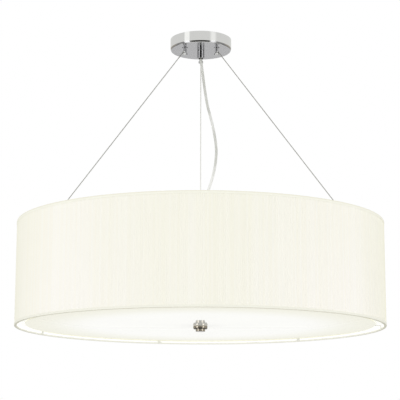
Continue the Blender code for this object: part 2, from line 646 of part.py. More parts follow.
def build_wires():
    """Three straight steel wires, each from its bore in a top post to its bore in a lower post."""
    seat = (WIRE_SEAT_SHARE * POST_NECK_RADIUS) / WIRE_LINE.x + SEAT_GAP
    start = WIRE_TOP + WIRE_LINE * seat
    end = WIRE_FOOT - WIRE_LINE * seat
    for side, azimuth in SIDES.items():
        bm = bmesh.new()
        add_rod(bm, start, end, WIRE_RADIUS, WIRE_SIDES)
        place("wire_" + side, finish_mesh(bm, "wire_" + side), WIRE_STEEL,
              rotation=(0.0, 0.0, heading(azimuth)))


def rivet_places():
    """Distances from the rod's axis to the two rivets of each arm."""
    return [ARM_INNER_END + share * (PLATE_RADIUS - ARM_INNER_END) for share in RIVET_SHARES]


def build_carrier_arms():
    """Flat steel arms from the plate to the top ring, each sloping up to a lipped seat for the ring."""
    top = ARM_TOP
    under = ARM_TOP - ARM_THICKNESS
    ring_underside = SHADE_TOP - SHADE_WALL_END - 2 * RING_WIRE_RADIUS
    seat = ring_underside - SEAT_GAP
    lip_outer = flat_radius(HEM_INNER, DRUM_SIDES) - SEAT_GAP * 2
    lip_inner = lip_outer - ARM_LIP_WIDTH
    end = RING_MIDDLE + ARM_SEAT_OVERHANG_SHARE * RING_WIRE_RADIUS
    ramp_end = lip_inner - ARM_SEAT_LENGTH
    ramp_start = ramp_end - ARM_RAMP_RUN
    outline = [(ARM_INNER_END, under), (ramp_start, under), (ramp_end, seat - ARM_THICKNESS),
               (end, seat - ARM_THICKNESS), (end, seat), (lip_outer, seat),
               (lip_outer, seat + ARM_LIP_HEIGHT), (lip_inner, seat + ARM_LIP_HEIGHT), (lip_inner, seat),
               (ramp_end, seat), (ramp_start, top),
               (ARM_INNER_END, top)]

    def post_hole(bm):
        add_rod(bm, (LOWER_POST_CIRCLE, 0.0, under - CUT_OVERRUN),
                (LOWER_POST_CIRCLE, 0.0, top + CUT_OVERRUN), POST_STUD_RADIUS + SEAT_GAP, HOLE_SIDES)

    # A rivet's shank runs from inside the arm, through the plate, to a head on each side.
    low_head = PLATE_BOTTOM - SEAT_GAP
    inside = top - ARM_THICKNESS / 2
    rivet = [(0.0, top + RIVET_HEAD_HEIGHT), (RIVET_RADIUS, top + RIVET_HEAD_HEIGHT),
             (RIVET_HEAD_RADIUS, top + RIVET_HEAD_HEIGHT / 2), (RIVET_HEAD_RADIUS, inside),
             (RIVET_RADIUS, inside), (RIVET_RADIUS, low_head), (RIVET_HEAD_RADIUS, low_head),
             (RIVET_HEAD_RADIUS, low_head - RIVET_HEAD_HEIGHT / 2),
             (RIVET_RADIUS, low_head - RIVET_HEAD_HEIGHT), (0.0, low_head - RIVET_HEAD_HEIGHT)]

    def rivets(bm):
        for x in rivet_places():
            add_turned_copy(bm, rivet, HOLE_SIDES, (x, 0.0, 0.0))

    for side, azimuth in SIDES.items():
        name = "carrier_arm_" + side
        bm = bmesh.new()
        extrude_outline(bm, outline, ARM_WIDTH)
        arm = place(name, finish_mesh(bm, name), WHITE_ENAMEL, rotation=(0.0, 0.0, heading(azimuth)))
        cut(arm, post_hole)
        join(arm, rivets)


def build_carrier_plate():
    """Round steel plate on the rod, drilled for the arms' rivets."""
    hole = ROD_RADIUS + SEAT_GAP
    outline = [(hole, PLATE_TOP), (PLATE_RADIUS, PLATE_TOP), (PLATE_RADIUS, PLATE_BOTTOM),
               (hole, PLATE_BOTTOM)]
    plate = place("carrier_plate", turned("carrier_plate", outline, BODY_SIDES), WHITE_ENAMEL)

    def holes(bm):
        for azimuth in SIDES.values():
            turned_to = Matrix.Rotation(heading(azimuth), 3, "Z")
            for x in rivet_places():
                low = turned_to @ Vector((x, 0.0, PLATE_BOTTOM - CUT_OVERRUN))
                high = turned_to @ Vector((x, 0.0, PLATE_TOP + CUT_OVERRUN))
                add_rod(bm, low, high, RIVET_RADIUS + SEAT_GAP, HOLE_SIDES)
    cut(plate, holes)


def build_centre_rod():
    """Threaded tube on the light's axis, from the lower gland to the finial, with its collars and nuts."""
    radius, collar = ROD_RADIUS, ROD_COLLAR_RADIUS
    outline = [(0.0, ROD_TOP), (radius, ROD_TOP)]
    for face, outward in ((PLATE_BOTTOM - SEAT_GAP, -1), (LAMP_BODY_TOP + SEAT_GAP + ROD_NUT_HEIGHT, -1)):
        end = face + outward * ROD_NUT_HEIGHT
        outline += [(radius, face), (collar, face), (collar, end), (radius, end)]
    outline += [(radius, ROD_BOTTOM), (0.0, ROD_BOTTOM)]
    place("centre_rod", turned("centre_rod", outline, FITTING_SIDES, closed=False), ZINC)
    nuts = {
        "plate_nut": PLATE_TOP + SEAT_GAP,
        "lamp_body_nut": LAMP_BODY_BOTTOM - SEAT_GAP - ROD_NUT_HEIGHT,
        "diffuser_nut": DIFFUSER_TOP + SEAT_GAP,
    }
    for name, lower_face in nuts.items():
        bm = bmesh.new()
        add_nut(bm, (0.0, 0.0, lower_face), ROD_NUT_RADIUS, ROD_RADIUS + SEAT_GAP, ROD_NUT_HEIGHT)
        place(name, finish_mesh(bm, name), ZINC)


def lamp_azimuths():
    """Azimuths of the lamps, evenly round the rod and clear of the carrier arms."""
    return [LAMP_FIRST_AZIMUTH + 360.0 * lamp / LAMP_COUNT for lamp in range(LAMP_COUNT)]


def build_lamp_body():
    """Spun cup that holds the lamps' wiring, open below, with a hole in its side for each lamp arm."""
    hole = ROD_RADIUS + SEAT_GAP
    inner = LAMP_BODY_RADIUS - LAMP_BODY_WALL
    ceiling = LAMP_BODY_TOP - LAMP_BODY_WALL
    upper_edge = rounded((LAMP_BODY_RADIUS, LAMP_BODY_TOP), (-1, 0), (0, -1), LAMP_BODY_EDGE)
    outline = [(hole, LAMP_BODY_TOP)] + upper_edge + [
        (LAMP_BODY_RADIUS, LAMP_BODY_BOTTOM), (inner, LAMP_BODY_BOTTOM), (inner, ceiling - LAMP_BODY_EDGE),
        (inner - LAMP_BODY_EDGE, ceiling), (hole, ceiling),
    ]
    body = place("lamp_body", turned("lamp_body", outline, BODY_SIDES), WHITE_ENAMEL)

    def holes(bm):
        for azimuth in lamp_azimuths():
            turned_to = Matrix.Rotation(heading(azimuth), 3, "Z")
            low = turned_to @ Vector((inner - CUT_OVERRUN, 0.0, LAMP_AXIS))
            high = turned_to @ Vector((LAMP_BODY_RADIUS + CUT_OVERRUN, 0.0, LAMP_AXIS))
            add_rod(bm, low, high, LAMP_SPIGOT_RADIUS + SEAT_GAP, HOLE_SIDES)
    cut(body, holes)

    cover_radius = inner - SEAT_GAP
    cover_top = LAMP_BODY_BOTTOM + LAMP_COVER_THICKNESS
    cover = [(hole, cover_top), (cover_radius, cover_top), (cover_radius, LAMP_BODY_BOTTOM),
             (hole, LAMP_BODY_BOTTOM)]
    place("lamp_body_cover", turned("lamp_body_cover", cover, BODY_SIDES), WHITE_ENAMEL)


def build_lamps():
    """Each lamp's arm, lampholder and bulb, turned about the lamp's own level axis."""
    wall_out = LAMP_BODY_RADIUS + SEAT_GAP
    tube_end = LAMP_BODY_RADIUS + LAMP_ARM_LENGTH
    spigot_end = LAMP_BODY_RADIUS - LAMP_SPIGOT_LENGTH
    arm = [(0.0, spigot_end), (LAMP_SPIGOT_RADIUS, spigot_end),
           (LAMP_SPIGOT_RADIUS, wall_out), (LAMP_ARM_FLANGE_RADIUS, wall_out),
           (LAMP_ARM_FLANGE_RADIUS, wall_out + LAMP_ARM_FLANGE_THICKNESS),
           (LAMP_ARM_RADIUS, wall_out + LAMP_ARM_FLANGE_THICKNESS), (LAMP_ARM_RADIUS, tube_end),
           (LAMP_SPIGOT_RADIUS, tube_end), (LAMP_SPIGOT_RADIUS, tube_end + LAMP_SPIGOT_LENGTH),
           (0.0, tube_end + LAMP_SPIGOT_LENGTH)]

    back = tube_end + SEAT_GAP
    mouth = back + HOLDER_LENGTH
    socket = BULB_CAP_RADIUS + SOCKET_CLEARANCE
    spigot_hole = LAMP_SPIGOT_RADIUS + SEAT_GAP
    groove = mouth - HOLDER_MOUTH_LENGTH
    holder = [(spigot_hole, back), (HOLDER_BACK_RADIUS, back), (HOLDER_RADIUS, back + HOLDER_TAPER),
              (HOLDER_RADIUS, groove - HOLDER_GROOVE), (HOLDER_RADIUS - HOLDER_GROOVE, groove),
              (HOLDER_RADIUS, groove + HOLDER_GROOVE), (HOLDER_RADIUS, mouth), (socket, mouth),
              (socket, back + HOLDER_TAPER), (spigot_hole, back + HOLDER_BACK_THICKNESS)]

    crown = mouth - BULB_CAP_LENGTH - BULB_TIP_LENGTH + BULB_LENGTH
    tip = crown - BULB_LENGTH
    globe = crown - BULB_RADIUS
    neck = mouth + SEAT_GAP
    bulb = [(0.0, tip), (BULB_TIP_RADIUS, tip), (BULB_CAP_RADIUS, tip + BULB_TIP_LENGTH),
            (BULB_CAP_RADIUS, neck), (BULB_NECK_RADIUS, neck), (BULB_NECK_RADIUS, neck + BULB_NECK_LENGTH)]
    for step in range(BULB_ARC_STEPS):
        angle = math.radians(BULB_BLEND_ANGLE * (1 - step / BULB_ARC_STEPS))
        bulb.append((BULB_RADIUS * math.sin(angle), globe + BULB_RADIUS * math.cos(angle)))
    bulb.append((0.0, crown))

    for number, azimuth in enumerate(lamp_azimuths(), start=1):
        placed = {"location": (0.0, 0.0, LAMP_AXIS), "rotation": (0.0, math.pi / 2, heading(azimuth))}
        name = f"lamp_arm_{number}"
        place(name, turned(name, arm, LAMP_ARM_SIDES, closed=False), WHITE_ENAMEL, **placed)
        name = f"lampholder_{number}"
        place(name, turned(name, holder, BULB_SIDES), WHITE_PLASTIC, **placed)
        name = f"bulb_{number}"
        place(name, turned(name, bulb, BULB_SIDES, closed=False), OPAL_GLASS, **placed)


def clip_outline():
    """A clip on the bottom ring: its leg stands inside the hem, and its tongue steadies the diffuser."""
    leg_outer = flat_radius(HEM_INNER, DRUM_SIDES) - SEAT_GAP
    leg_inner = leg_outer - CLIP_THICKNESS
    weld_end = RING_MIDDLE + CLIP_WELD_SHARE * RING_WIRE_RADIUS
    weld = SHADE_BOTTOM + HEM_INNER_HEIGHT + SEAT_GAP
    tongue = DIFFUSER_TOP + SEAT_GAP
    tip = DIFFUSER_RADIUS - CLIP_OVERLAP
    foot = SHADE_BOTTOM + CLIP_LEG_FOOT
    return [(leg_outer, foot), (leg_outer, weld), (weld_end, weld), (weld_end, weld + CLIP_THICKNESS),
            (leg_outer, weld + CLIP_THICKNESS), (leg_outer, tongue + CLIP_THICKNESS),
            (tip, tongue + CLIP_THICKNESS), (tip, tongue), (leg_inner, tongue), (leg_inner, foot)]


def add_clips(bm):
    """The clips, evenly spaced round the bottom ring."""
    for clip in range(CLIP_COUNT):
        single = bmesh.new()
        extrude_outline(single, clip_outline(), CLIP_WIDTH)
        azimuth = CLIP_FIRST_AZIMUTH + 360.0 * clip / CLIP_COUNT
        bmesh.ops.rotate(single, verts=single.verts, cent=(0.0, 0.0, 0.0),
                         matrix=Matrix.Rotation(heading(azimuth), 3, "Z"))
        add_copy(bm, single)


def build_shade():
    """The shade: pleated cover outside, stiff lining inside, a wire ring and rolled tape at each edge."""
    high = SHADE_TOP - SHADE_WALL_END
    low = SHADE_BOTTOM + SHADE_WALL_END
    layers = (("shade_lining", LINING_OUTER, LINING_INNER, WHITE_LINING),
              ("shade_cover", SHADE_RADIUS, SHADE_RADIUS - COVER_THICKNESS, IVORY_FABRIC))
    for name, outer, inner, finish in layers:
        outline = [(outer, high), (outer, low), (inner, low), (inner, high)]
        place(name, turned(name, outline, DRUM_SIDES), finish)
    for name, edge, inward in (("top", SHADE_TOP, -1), ("bottom", SHADE_BOTTOM, 1)):
        centre = edge + inward * (SHADE_WALL_END + RING_WIRE_RADIUS)
        section = []
        for side in range(RING_SECTION_SIDES):
            angle = math.tau * side / RING_SECTION_SIDES
            section.append((RING_MIDDLE + RING_WIRE_RADIUS * math.sin(angle),
                            centre - inward * RING_WIRE_RADIUS * math.cos(angle)))
        ring = place(name + "_ring", turned(name + "_ring", section, DRUM_SIDES), WHITE_ENAMEL)
        if name == "bottom":
            join(ring, add_clips)
        web = edge + inward * HEM_THICKNESS
        outer_end = edge + inward * HEM_HEIGHT
        inner_end = edge + inward * HEM_INNER_HEIGHT
        hem = [(HEM_OUTER, edge), (HEM_OUTER, outer_end), (HEM_OUTER - HEM_THICKNESS, outer_end),
               (HEM_OUTER - HEM_THICKNESS, web), (HEM_INNER + HEM_THICKNESS, web),
               (HEM_INNER + HEM_THICKNESS, inner_end), (HEM_INNER, inner_end), (HEM_INNER, edge)]
        place(name + "_hem", turned(name + "_hem", hem, DRUM_SIDES), IVORY_FABRIC)


def build_diffuser():
    """Flat opal disc with a hole for the rod; it drops off the rod with the finial for changing lamps."""
    hole = ROD_RADIUS + DIFFUSER_HOLE_CLEARANCE
    thickness = DIFFUSER_THICKNESS
    outline = [(hole, thickness), (DIFFUSER_RADIUS, thickness), (DIFFUSER_RADIUS, 0.0), (hole, 0.0)]
    place("diffuser", turned("diffuser", outline, DRUM_SIDES), OPAL_ACRYLIC,
          location=(0.0, 0.0, DIFFUSER_UNDERSIDE))


def build_finial():
    """Turned knob with a smaller step below it, screwed on to the rod's end to hold the diffuser up."""
    bore = ROD_RADIUS + SEAT_GAP
    edge = FINIAL_EDGE
    knob = -FINIAL_KNOB_HEIGHT
    foot = knob - FINIAL_STEP_HEIGHT
    outline = [(0.0, -FINIAL_BORE_DEPTH), (bore, -FINIAL_BORE_DEPTH), (bore, 0.0),
               (FINIAL_RADIUS - edge, 0.0), (FINIAL_RADIUS, -edge), (FINIAL_RADIUS, knob + edge),
               (FINIAL_RADIUS - edge, knob), (FINIAL_STEP_RADIUS, knob), (FINIAL_STEP_RADIUS, foot + edge),
               (FINIAL_STEP_RADIUS - edge, foot), (0.0, foot)]
    place("finial", turned("finial", outline, BODY_SIDES, closed=False), CHROME,
          location=(0.0, 0.0, FINIAL_TOP))


clear_scene()
build_ceiling_bracket()
build_terminal_block()
build_canopy()
build_canopy_screws()
build_upper_gland()
build_posts()
build_wires()
build_supply_flex()
build_lower_gland()
build_carrier_arms()
build_carrier_plate()
build_centre_rod()
build_lamp_body()
build_lamps()
build_shade()
build_diffuser()
build_finial()
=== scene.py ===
"""Drum pendant light, dressed: chrome canopy, three wire ropes, a clear flex, and a pleated drum shade with
six lamps over an opal diffuser. Metres, +Z up, the ceiling at Z 0, the front at -Y.
"""

import math

import bmesh
import bpy
import numpy as np
from mathutils import Matrix, Vector


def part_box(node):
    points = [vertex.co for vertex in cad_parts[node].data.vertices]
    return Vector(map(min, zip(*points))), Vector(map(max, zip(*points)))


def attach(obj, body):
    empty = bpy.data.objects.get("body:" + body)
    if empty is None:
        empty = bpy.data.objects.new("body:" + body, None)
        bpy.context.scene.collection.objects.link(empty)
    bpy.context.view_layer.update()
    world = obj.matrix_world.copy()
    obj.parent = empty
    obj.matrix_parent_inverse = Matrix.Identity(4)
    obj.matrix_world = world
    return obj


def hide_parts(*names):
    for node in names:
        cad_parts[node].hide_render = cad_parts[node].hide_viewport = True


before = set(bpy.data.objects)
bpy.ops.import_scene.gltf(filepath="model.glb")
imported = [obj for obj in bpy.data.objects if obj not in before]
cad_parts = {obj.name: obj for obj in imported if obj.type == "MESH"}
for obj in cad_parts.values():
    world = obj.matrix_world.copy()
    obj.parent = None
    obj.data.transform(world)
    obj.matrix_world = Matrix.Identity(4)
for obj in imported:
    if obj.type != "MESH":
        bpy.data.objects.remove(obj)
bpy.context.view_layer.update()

# Camera
# The photograph was taken from 3.3 m in front of the light and 0.33 m below the shade's lower edge, looking
# up by 11 degrees, with the square frame turned very slightly.
IMAGE_WIDTH, FOCAL_LENGTH = 400.0, 1361.0               # pixels
SENSOR = 36.0
CAMERA_PLACE = (0.0, -3.319, -1.0632)
LOOK_ASIDE, LOOK_UP, FRAME_TURN = 0.025, 11.06, 0.1     # degrees
camera_data = bpy.data.cameras.new("camera")
camera_data.sensor_width = SENSOR
camera_data.lens = SENSOR * FOCAL_LENGTH / IMAGE_WIDTH
camera = bpy.data.objects.new("camera", camera_data)
camera.matrix_world = (Matrix.Translation(CAMERA_PLACE)
                       @ Matrix.Rotation(math.radians(LOOK_ASIDE), 4, "Z")
                       @ Matrix.Rotation(math.radians(90.0 + LOOK_UP), 4, "X")
                       @ Matrix.Rotation(math.radians(FRAME_TURN), 4, "Z"))
bpy.context.scene.collection.objects.link(camera)
bpy.context.scene.camera = camera


# Supply flex
# A clear round PVC sheath over two insulated cores that are laid round each other. It leaves the canopy's
# cord grip, hangs in a slack bow to the right, and goes into the grip on top of the centre rod. The lamps'
# light on its foot, inside the shade, is painted on: a painted glow and a paler colour there.
FLEX_RADIUS = 0.0033
FLEX_BORE = 0.0025
FLEX_SPACING = 0.0025               # between the rings along it
CORE_RADIUS = 0.00115
CORE_OFFSET = 0.00122
CORE_LAY = 0.042                    # length of one turn of the cores
FLEX_TOP = -0.0468
FLEX_FOOT = -0.4786
LIT_BELOW = (-0.365, -0.325)        # heights between which the lamps' light on it ends
# Colours of the painted glow, higher up and on the foot
FLEX_GLOW = ((0.22, 0.22, 0.205), (0.52, 0.52, 0.52))
# The route between the two grips, as (x, z), the same as the solid's
FLEX_ROUTE = (
    (0.0006, -0.058), (0.0022, -0.069), (0.0055, -0.094), (0.0087, -0.120), (0.0124, -0.146),
    (0.0170, -0.172), (0.0235, -0.198), (0.0299, -0.224), (0.0349, -0.250), (0.0382, -0.274),
    (0.0391, -0.294), (0.0377, -0.314), (0.0342, -0.338), (0.0288, -0.360), (0.0228, -0.379),
    (0.0160, -0.397), (0.0094, -0.415), (0.0044, -0.432), (0.0012, -0.449), (0.0001, -0.460),
)


class Field:
    """One output socket of a material, a value or a colour over the surface. Sums, products and powers of
    fields add Math nodes, and add() puts in any other node."""

    def __init__(self, socket):
        self.socket = socket

    def add(self, kind, settings, links, output=0):
        """A node of this kind: its settings first, then a number or a field for each of its sockets."""
        tree = self.socket.id_data
        node = tree.nodes.new(kind)
        for name, value in settings.items():
            setattr(node, name, value)
        for name, value in links.items():
            if isinstance(value, Field):
                tree.links.new(value.socket, node.inputs[name])
            else:
                node.inputs[name].default_value = value
        return Field(node.outputs[output])

    def maths(self, operation, *others):
        return self.add("ShaderNodeMath", {"operation": operation}, dict(enumerate((self, *others))))

    def __add__(self, other):
        return self.maths("ADD", other)

    def __mul__(self, other):
        return self.maths("MULTIPLY", other)

    def __pow__(self, other):
        return self.maths("POWER", other)

    def __sub__(self, other):
        return self.maths("SUBTRACT", other)

    def __rsub__(self, other):
        return self * -1.0 + other

    __radd__ = __add__
    __rmul__ = __mul__

    def axis(self, number):
        """One of three coordinates: 0 towards +X, 1 towards +Y, 2 up."""
        return self.add("ShaderNodeSeparateXYZ", {}, {0: self}, number)

    def eased_step(self, low, high):
        """0 below the low value, 1 above the high one, and smooth between them."""
        return self.add("ShaderNodeMapRange", {"interpolation_type": "SMOOTHSTEP"},
                        {"Value": self, "From Min": low, "From Max": high})

    def tint(self, first, second, clamped=True):
        """A colour between two colours or colour fields, with this value as the share of the second."""
        first, second = (end if isinstance(end, Field) else (*end, 1.0) for end in (first, second))
        return self.add("ShaderNodeMix", {"data_type": "RGBA", "clamp_factor": clamped},
                        {0: self, 6: first, 7: second}, 2)

    def grain(self, scale, detail=2.0, stretch=(1.0, 1.0, 1.0)):
        """Soft noise from 0 to 1 over these coordinates, with this many grains to a metre."""
        stretched = self.add("ShaderNodeMapping", {}, {"Vector": self, "Scale": stretch})
        return stretched.add("ShaderNodeTexNoise", {},
                             {"Vector": stretched, "Scale": scale, "Detail": detail})

    def relief(self, strength, depth):
        """Normals of a surface that this value raises by up to the depth, in metres."""
        return self.add("ShaderNodeBump", {}, {"Strength": strength, "Distance": depth, "Height": self})


def new_finish(name, fixed):
    """A Principled material with its fixed values, its shader node, and its Object coordinates."""
    material = bpy.data.materials.new(name)
    material.use_nodes = True
    shader = material.node_tree.nodes["Principled BSDF"]
    for socket, value in fixed.items():
        shader.inputs[socket].default_value = value
    place = material.node_tree.nodes.new("ShaderNodeTexCoord")
    return material, shader, Field(place.outputs["Object"])


def feed(node, fields):
    """Link fields to the node's sockets."""
    for socket, field in fields.items():
        node.id_data.links.new(field.socket, node.inputs[socket])


def skin(name, points, material, join_rows=False, smooth_angle=180.0):
    """A mesh through a grid of points, rows by columns by 3. Each four neighbours make a face, the last
    column meets the first, and the last row meets the first where the section is a closed ring. Rows that
    shrink to a point close a pole."""
    rows, columns = points.shape[:2]
    index = np.arange(rows * columns).reshape(rows, columns)
    if join_rows:
        index = np.vstack((index, index[:1]))
    index = np.hstack((index, index[:, :1]))
    faces = np.stack((index[:-1, :-1], index[:-1, 1:], index[1:, 1:], index[1:, :-1]), axis=-1)
    mesh = bpy.data.meshes.new(name)
    mesh.from_pydata(points.reshape(-1, 3).tolist(), [], faces.reshape(-1, 4).tolist())
    bm = bmesh.new()
    bm.from_mesh(mesh)
    bmesh.ops.remove_doubles(bm, verts=bm.verts, dist=0.0000005)
    bmesh.ops.recalc_face_normals(bm, faces=bm.faces)
    bm.to_mesh(mesh)
    bm.free()
    mesh.shade_smooth()
    mesh.set_sharp_from_angle(angle=math.radians(smooth_angle))
    mesh.materials.append(material)
    return mesh


def new_piece(name, mesh):
    """A piece at the origin, with its place in its mesh."""
    piece = bpy.data.objects.new(name, mesh)
    bpy.context.scene.collection.objects.link(piece)
    return piece


def skinned(name, points, material, carried=Matrix(), **ways):
    """A piece whose mesh is the skin of these points, carried to its place."""
    mesh = skin(name, points, material, **ways)
    mesh.transform(carried)
    return new_piece(name, mesh)


def cubic(u, start, start_slope, end, end_slope):
    """The cubic curve from A to B, with slopes A' and B' there, at u from 0 to 1:
    (1 + 2u)(1 - u)^2 A + u (1 - u)^2 A' + u^2 (3 - 2u) B + u^2 (u - 1) B'."""
    return ((1 + 2 * u) * (1 - u) ** 2 * start + u * (1 - u) ** 2 * start_slope
            + u * u * (3 - 2 * u) * end + u * u * (u - 1) * end_slope)


def smooth_line(points, spacing):
    """Even points along the cubic curve whose slope at each knot is the slope of its two neighbours."""
    knots = np.array(points)
    travel = np.concatenate(([0.0], np.cumsum(np.linalg.norm(np.diff(knots, axis=0), axis=1))))
    slopes = np.gradient(knots, travel, axis=0)
    u = np.linspace(0.0, 1.0, 12, endpoint=False)[None, :, None]
    span = np.diff(travel)[:, None, None]
    fine = cubic(u, knots[:-1, None], span * slopes[:-1, None], knots[1:, None], span * slopes[1:, None])
    fine = np.vstack((fine.reshape(-1, 3), knots[-1:]))
    length = np.concatenate(([0.0], np.cumsum(np.linalg.norm(np.diff(fine, axis=0), axis=1))))
    stops = np.linspace(0.0, length[-1], int(length[-1] / spacing) + 1)
    return np.stack([np.interp(stops, length, fine[:, axis]) for axis in range(3)], axis=1), length[-1]


def rings_along(line, sides, radius, offset=0.0, turn=np.zeros(1)):
    """Rings round a line in an upright plane through Z: centre + radius (cos a side + sin a normal). With
    an offset the ring's centre runs round the line, and turn gives its angle at each point."""
    along = np.gradient(line, axis=0)
    along /= np.linalg.norm(along, axis=1)[:, None]
    flat = line[-1] - line[0] + line[len(line) // 2] - line[0]
    side = np.cross(np.array([0.0, 0.0, 1.0]), flat * (1.0, 1.0, 0.0))
    side /= np.linalg.norm(side)
    normal = np.cross(along, side)
    middle = line + offset * (np.cos(turn)[:, None] * side + np.sin(turn)[:, None] * normal)
    angle = np.linspace(0.0, math.tau, sides, endpoint=False)
    ring = (np.cos(angle)[None, :, None] * side + np.sin(angle)[None, :, None] * normal[:, None])
    return middle[:, None] + np.broadcast_to(radius, (len(line), sides))[..., None] * ring


def capped(rings):
    """Rings with a point before the first and after the last, each in the middle of its ring."""
    first, last = (np.broadcast_to(ring.mean(axis=1, keepdims=True), ring.shape)
                   for ring in (rings[:1], rings[-1:]))
    return np.vstack((first, rings, last))


def painted_lamp_light(place):
    """1 on the flex's foot, where lamp light is painted on, and 0 higher up."""
    return 1.0 - place.axis(2).eased_step(*LIT_BELOW)


flex_knots = [(0.0, 0.0, FLEX_TOP), (0.0, 0.0, -0.0505)]
flex_knots += [(x, 0.0, z) for x, z in FLEX_ROUTE]
flex_knots += [(0.0, 0.0, -0.4749), (0.0, 0.0, FLEX_FOOT)]
flex_line, flex_length = smooth_line(flex_knots, FLEX_SPACING)

clear_pvc, shader, place = new_finish("clear_pvc", {
    "IOR": 1.33, "Transmission Weight": 0.15, "Specular IOR Level": 0.35, "Emission Strength": 0.25})
cloud = place.grain(22.0, 2.0)
# Painted light: the foot is given a paler colour and a glow for the lamps' light inside the shade
foot = painted_lamp_light(place)
tone = (cloud.eased_step(0.3, 0.7) * 0.9).maths("MAXIMUM", foot * 0.85)
feed(shader, {"Base Color": tone.tint((0.62, 0.625, 0.585), (0.86, 0.86, 0.84)),
              "Emission Color": foot.tint(*FLEX_GLOW),
              "Roughness": 0.38 + 0.10 * cloud,
              "Normal": place.grain(120.0).relief(0.04, 0.0001)})

# Painted light: the cores glow on the foot too
core_cover, shader, place = new_finish("core_insulation", {
    "Specular IOR Level": 0.4, "Emission Strength": 0.25})
cloud = place.grain(140.0)
feed(shader, {"Base Color": cloud.tint((0.74, 0.745, 0.70), (0.80, 0.805, 0.76)),
              "Emission Color": painted_lamp_light(place).tint(*FLEX_GLOW),
              "Roughness": 0.4 + 0.1 * cloud})

outer = rings_along(flex_line, 24, FLEX_RADIUS)
bore = rings_along(flex_line, 24, FLEX_BORE)[::-1]
sheath = skinned("flex_sheath", np.vstack((outer, bore)), clear_pvc, join_rows=True, smooth_angle=50.0)
core_turn = np.arange(len(flex_line)) * FLEX_SPACING / CORE_LAY * math.tau
for number, start in ((1, 0.0), (2, math.pi)):
    rings = rings_along(flex_line, 12, CORE_RADIUS, CORE_OFFSET, core_turn + start)
    core = skinned(f"flex_core_{number}", capped(rings), core_cover, smooth_angle=50.0)
    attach(core, "fixture")
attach(sheath, "fixture")
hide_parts("supply_flex")


# Suspension wires
# Three taut steel wire ropes of about 2 mm, each six strands laid round a core, from a bore in an upper
# cable post to a bore in a lower one. They stand 120 degrees apart, one straight behind the light's axis,
# and that one has a painted highlight: a paler colour and a painted glow, as if it lay in the light.
ROPE_RADIUS = 0.00115
ROPE_STRANDS = 6
ROPE_SIDES = 3 * ROPE_STRANDS
ROPE_LAY = 0.013                    # length of one turn of the strands
STRAND_DEPTH = 0.14                 # the dip between two strands, as a share of the radius
TILT_COSINE, TILT_SINE = 0.8, 0.6   # of the wires, from upright
SIDES = {"right": 60.0, "left": -60.0, "rear": 180.0}   # azimuths from the front, positive towards +X


def heading(azimuth):
    """Turn about Z that carries +X to this azimuth."""
    return Matrix.Rotation(math.radians(azimuth - 90.0), 4, "Z")


def levels(node):
    """The lowest and the highest Z of a node."""
    low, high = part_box(node)
    return low[2], high[2]


wire_steel, shader, place = new_finish("wire_steel", {"Metallic": 1.0, "Emission Strength": 0.2})
wear = place.grain(500.0)
# Painted highlight: the rear wire is painted paler and glows
rear = place.axis(1).eased_step(0.02, 0.05)
feed(shader, {"Base Color": (wear * 0.25 + rear * 0.75).tint((0.50, 0.50, 0.49), (0.97, 0.97, 0.95)),
              "Emission Color": rear.tint((0.0, 0.0, 0.0), (1.0, 1.0, 0.97)),
              "Roughness": 0.26 + 0.12 * wear})

# The rear wire runs out along +Y, so its box says how far from Z the ends of all three stand
rear_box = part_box("wire_rear")
inner_end = rear_box[0][1] + TILT_COSINE * ROPE_RADIUS
outer_end = rear_box[1][1] - TILT_COSINE * ROPE_RADIUS
for side, azimuth in SIDES.items():
    turned_to = heading(azimuth)
    low, high = levels("wire_" + side)
    top = turned_to @ Vector((inner_end, 0.0, high - TILT_SINE * ROPE_RADIUS))
    foot = turned_to @ Vector((outer_end, 0.0, low + TILT_SINE * ROPE_RADIUS))
    run = (foot - top).length
    steps = int(run / (ROPE_LAY / 8))
    line = np.linspace(top, foot, steps)
    angle = np.linspace(0.0, math.tau, ROPE_SIDES, endpoint=False)
    laid = angle[None] + np.linspace(0.0, run / ROPE_LAY * math.tau, steps)[:, None]
    radius = ROPE_RADIUS * (1.0 - STRAND_DEPTH + STRAND_DEPTH * np.abs(np.cos(ROPE_STRANDS / 2 * laid)))
    rope = skinned("wire_rope_" + side, capped(rings_along(line, ROPE_SIDES, radius)), wire_steel,
                   smooth_angle=60.0)
    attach(rope, "fixture")
    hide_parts("wire_" + side)


# Ceiling bracket and terminal block
# A zinc-plated steel strap that is screwed to the ceiling, and the white three-pole connector under it.
# Both are the solids themselves, with their finishes.
zinc, shader, place = new_finish("zinc_plate", {"Metallic": 1.0})
spangle = place.grain(160.0, 4.0)
drawn = place.grain(900.0, 2.0, (1.0, 0.06, 0.06))
feed(shader, {"Base Color": spangle.tint((0.56, 0.58, 0.61), (0.70, 0.69, 0.66)),
              "Roughness": 0.26 + 0.16 * spangle,
              "Normal": drawn.relief(0.12, 0.00005)})

white_plastic, shader, place = new_finish("white_plastic", {"Specular IOR Level": 0.5})
mottle = place.grain(220.0, 3.0)
feed(shader, {"Base Color": mottle.tint((0.90, 0.90, 0.88), (0.95, 0.95, 0.93)),
              "Roughness": 0.26 + 0.1 * mottle,
              "Normal": place.grain(1800.0).relief(0.1, 0.00004)})


def finish_solids(material, *nodes):
    """Give solids that stay as they are this finish."""
    for node in nodes:
        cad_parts[node].data.materials.clear()
        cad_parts[node].data.materials.append(material)


finish_solids(zinc, "ceiling_bracket")
finish_solids(white_plastic, "terminal_block")


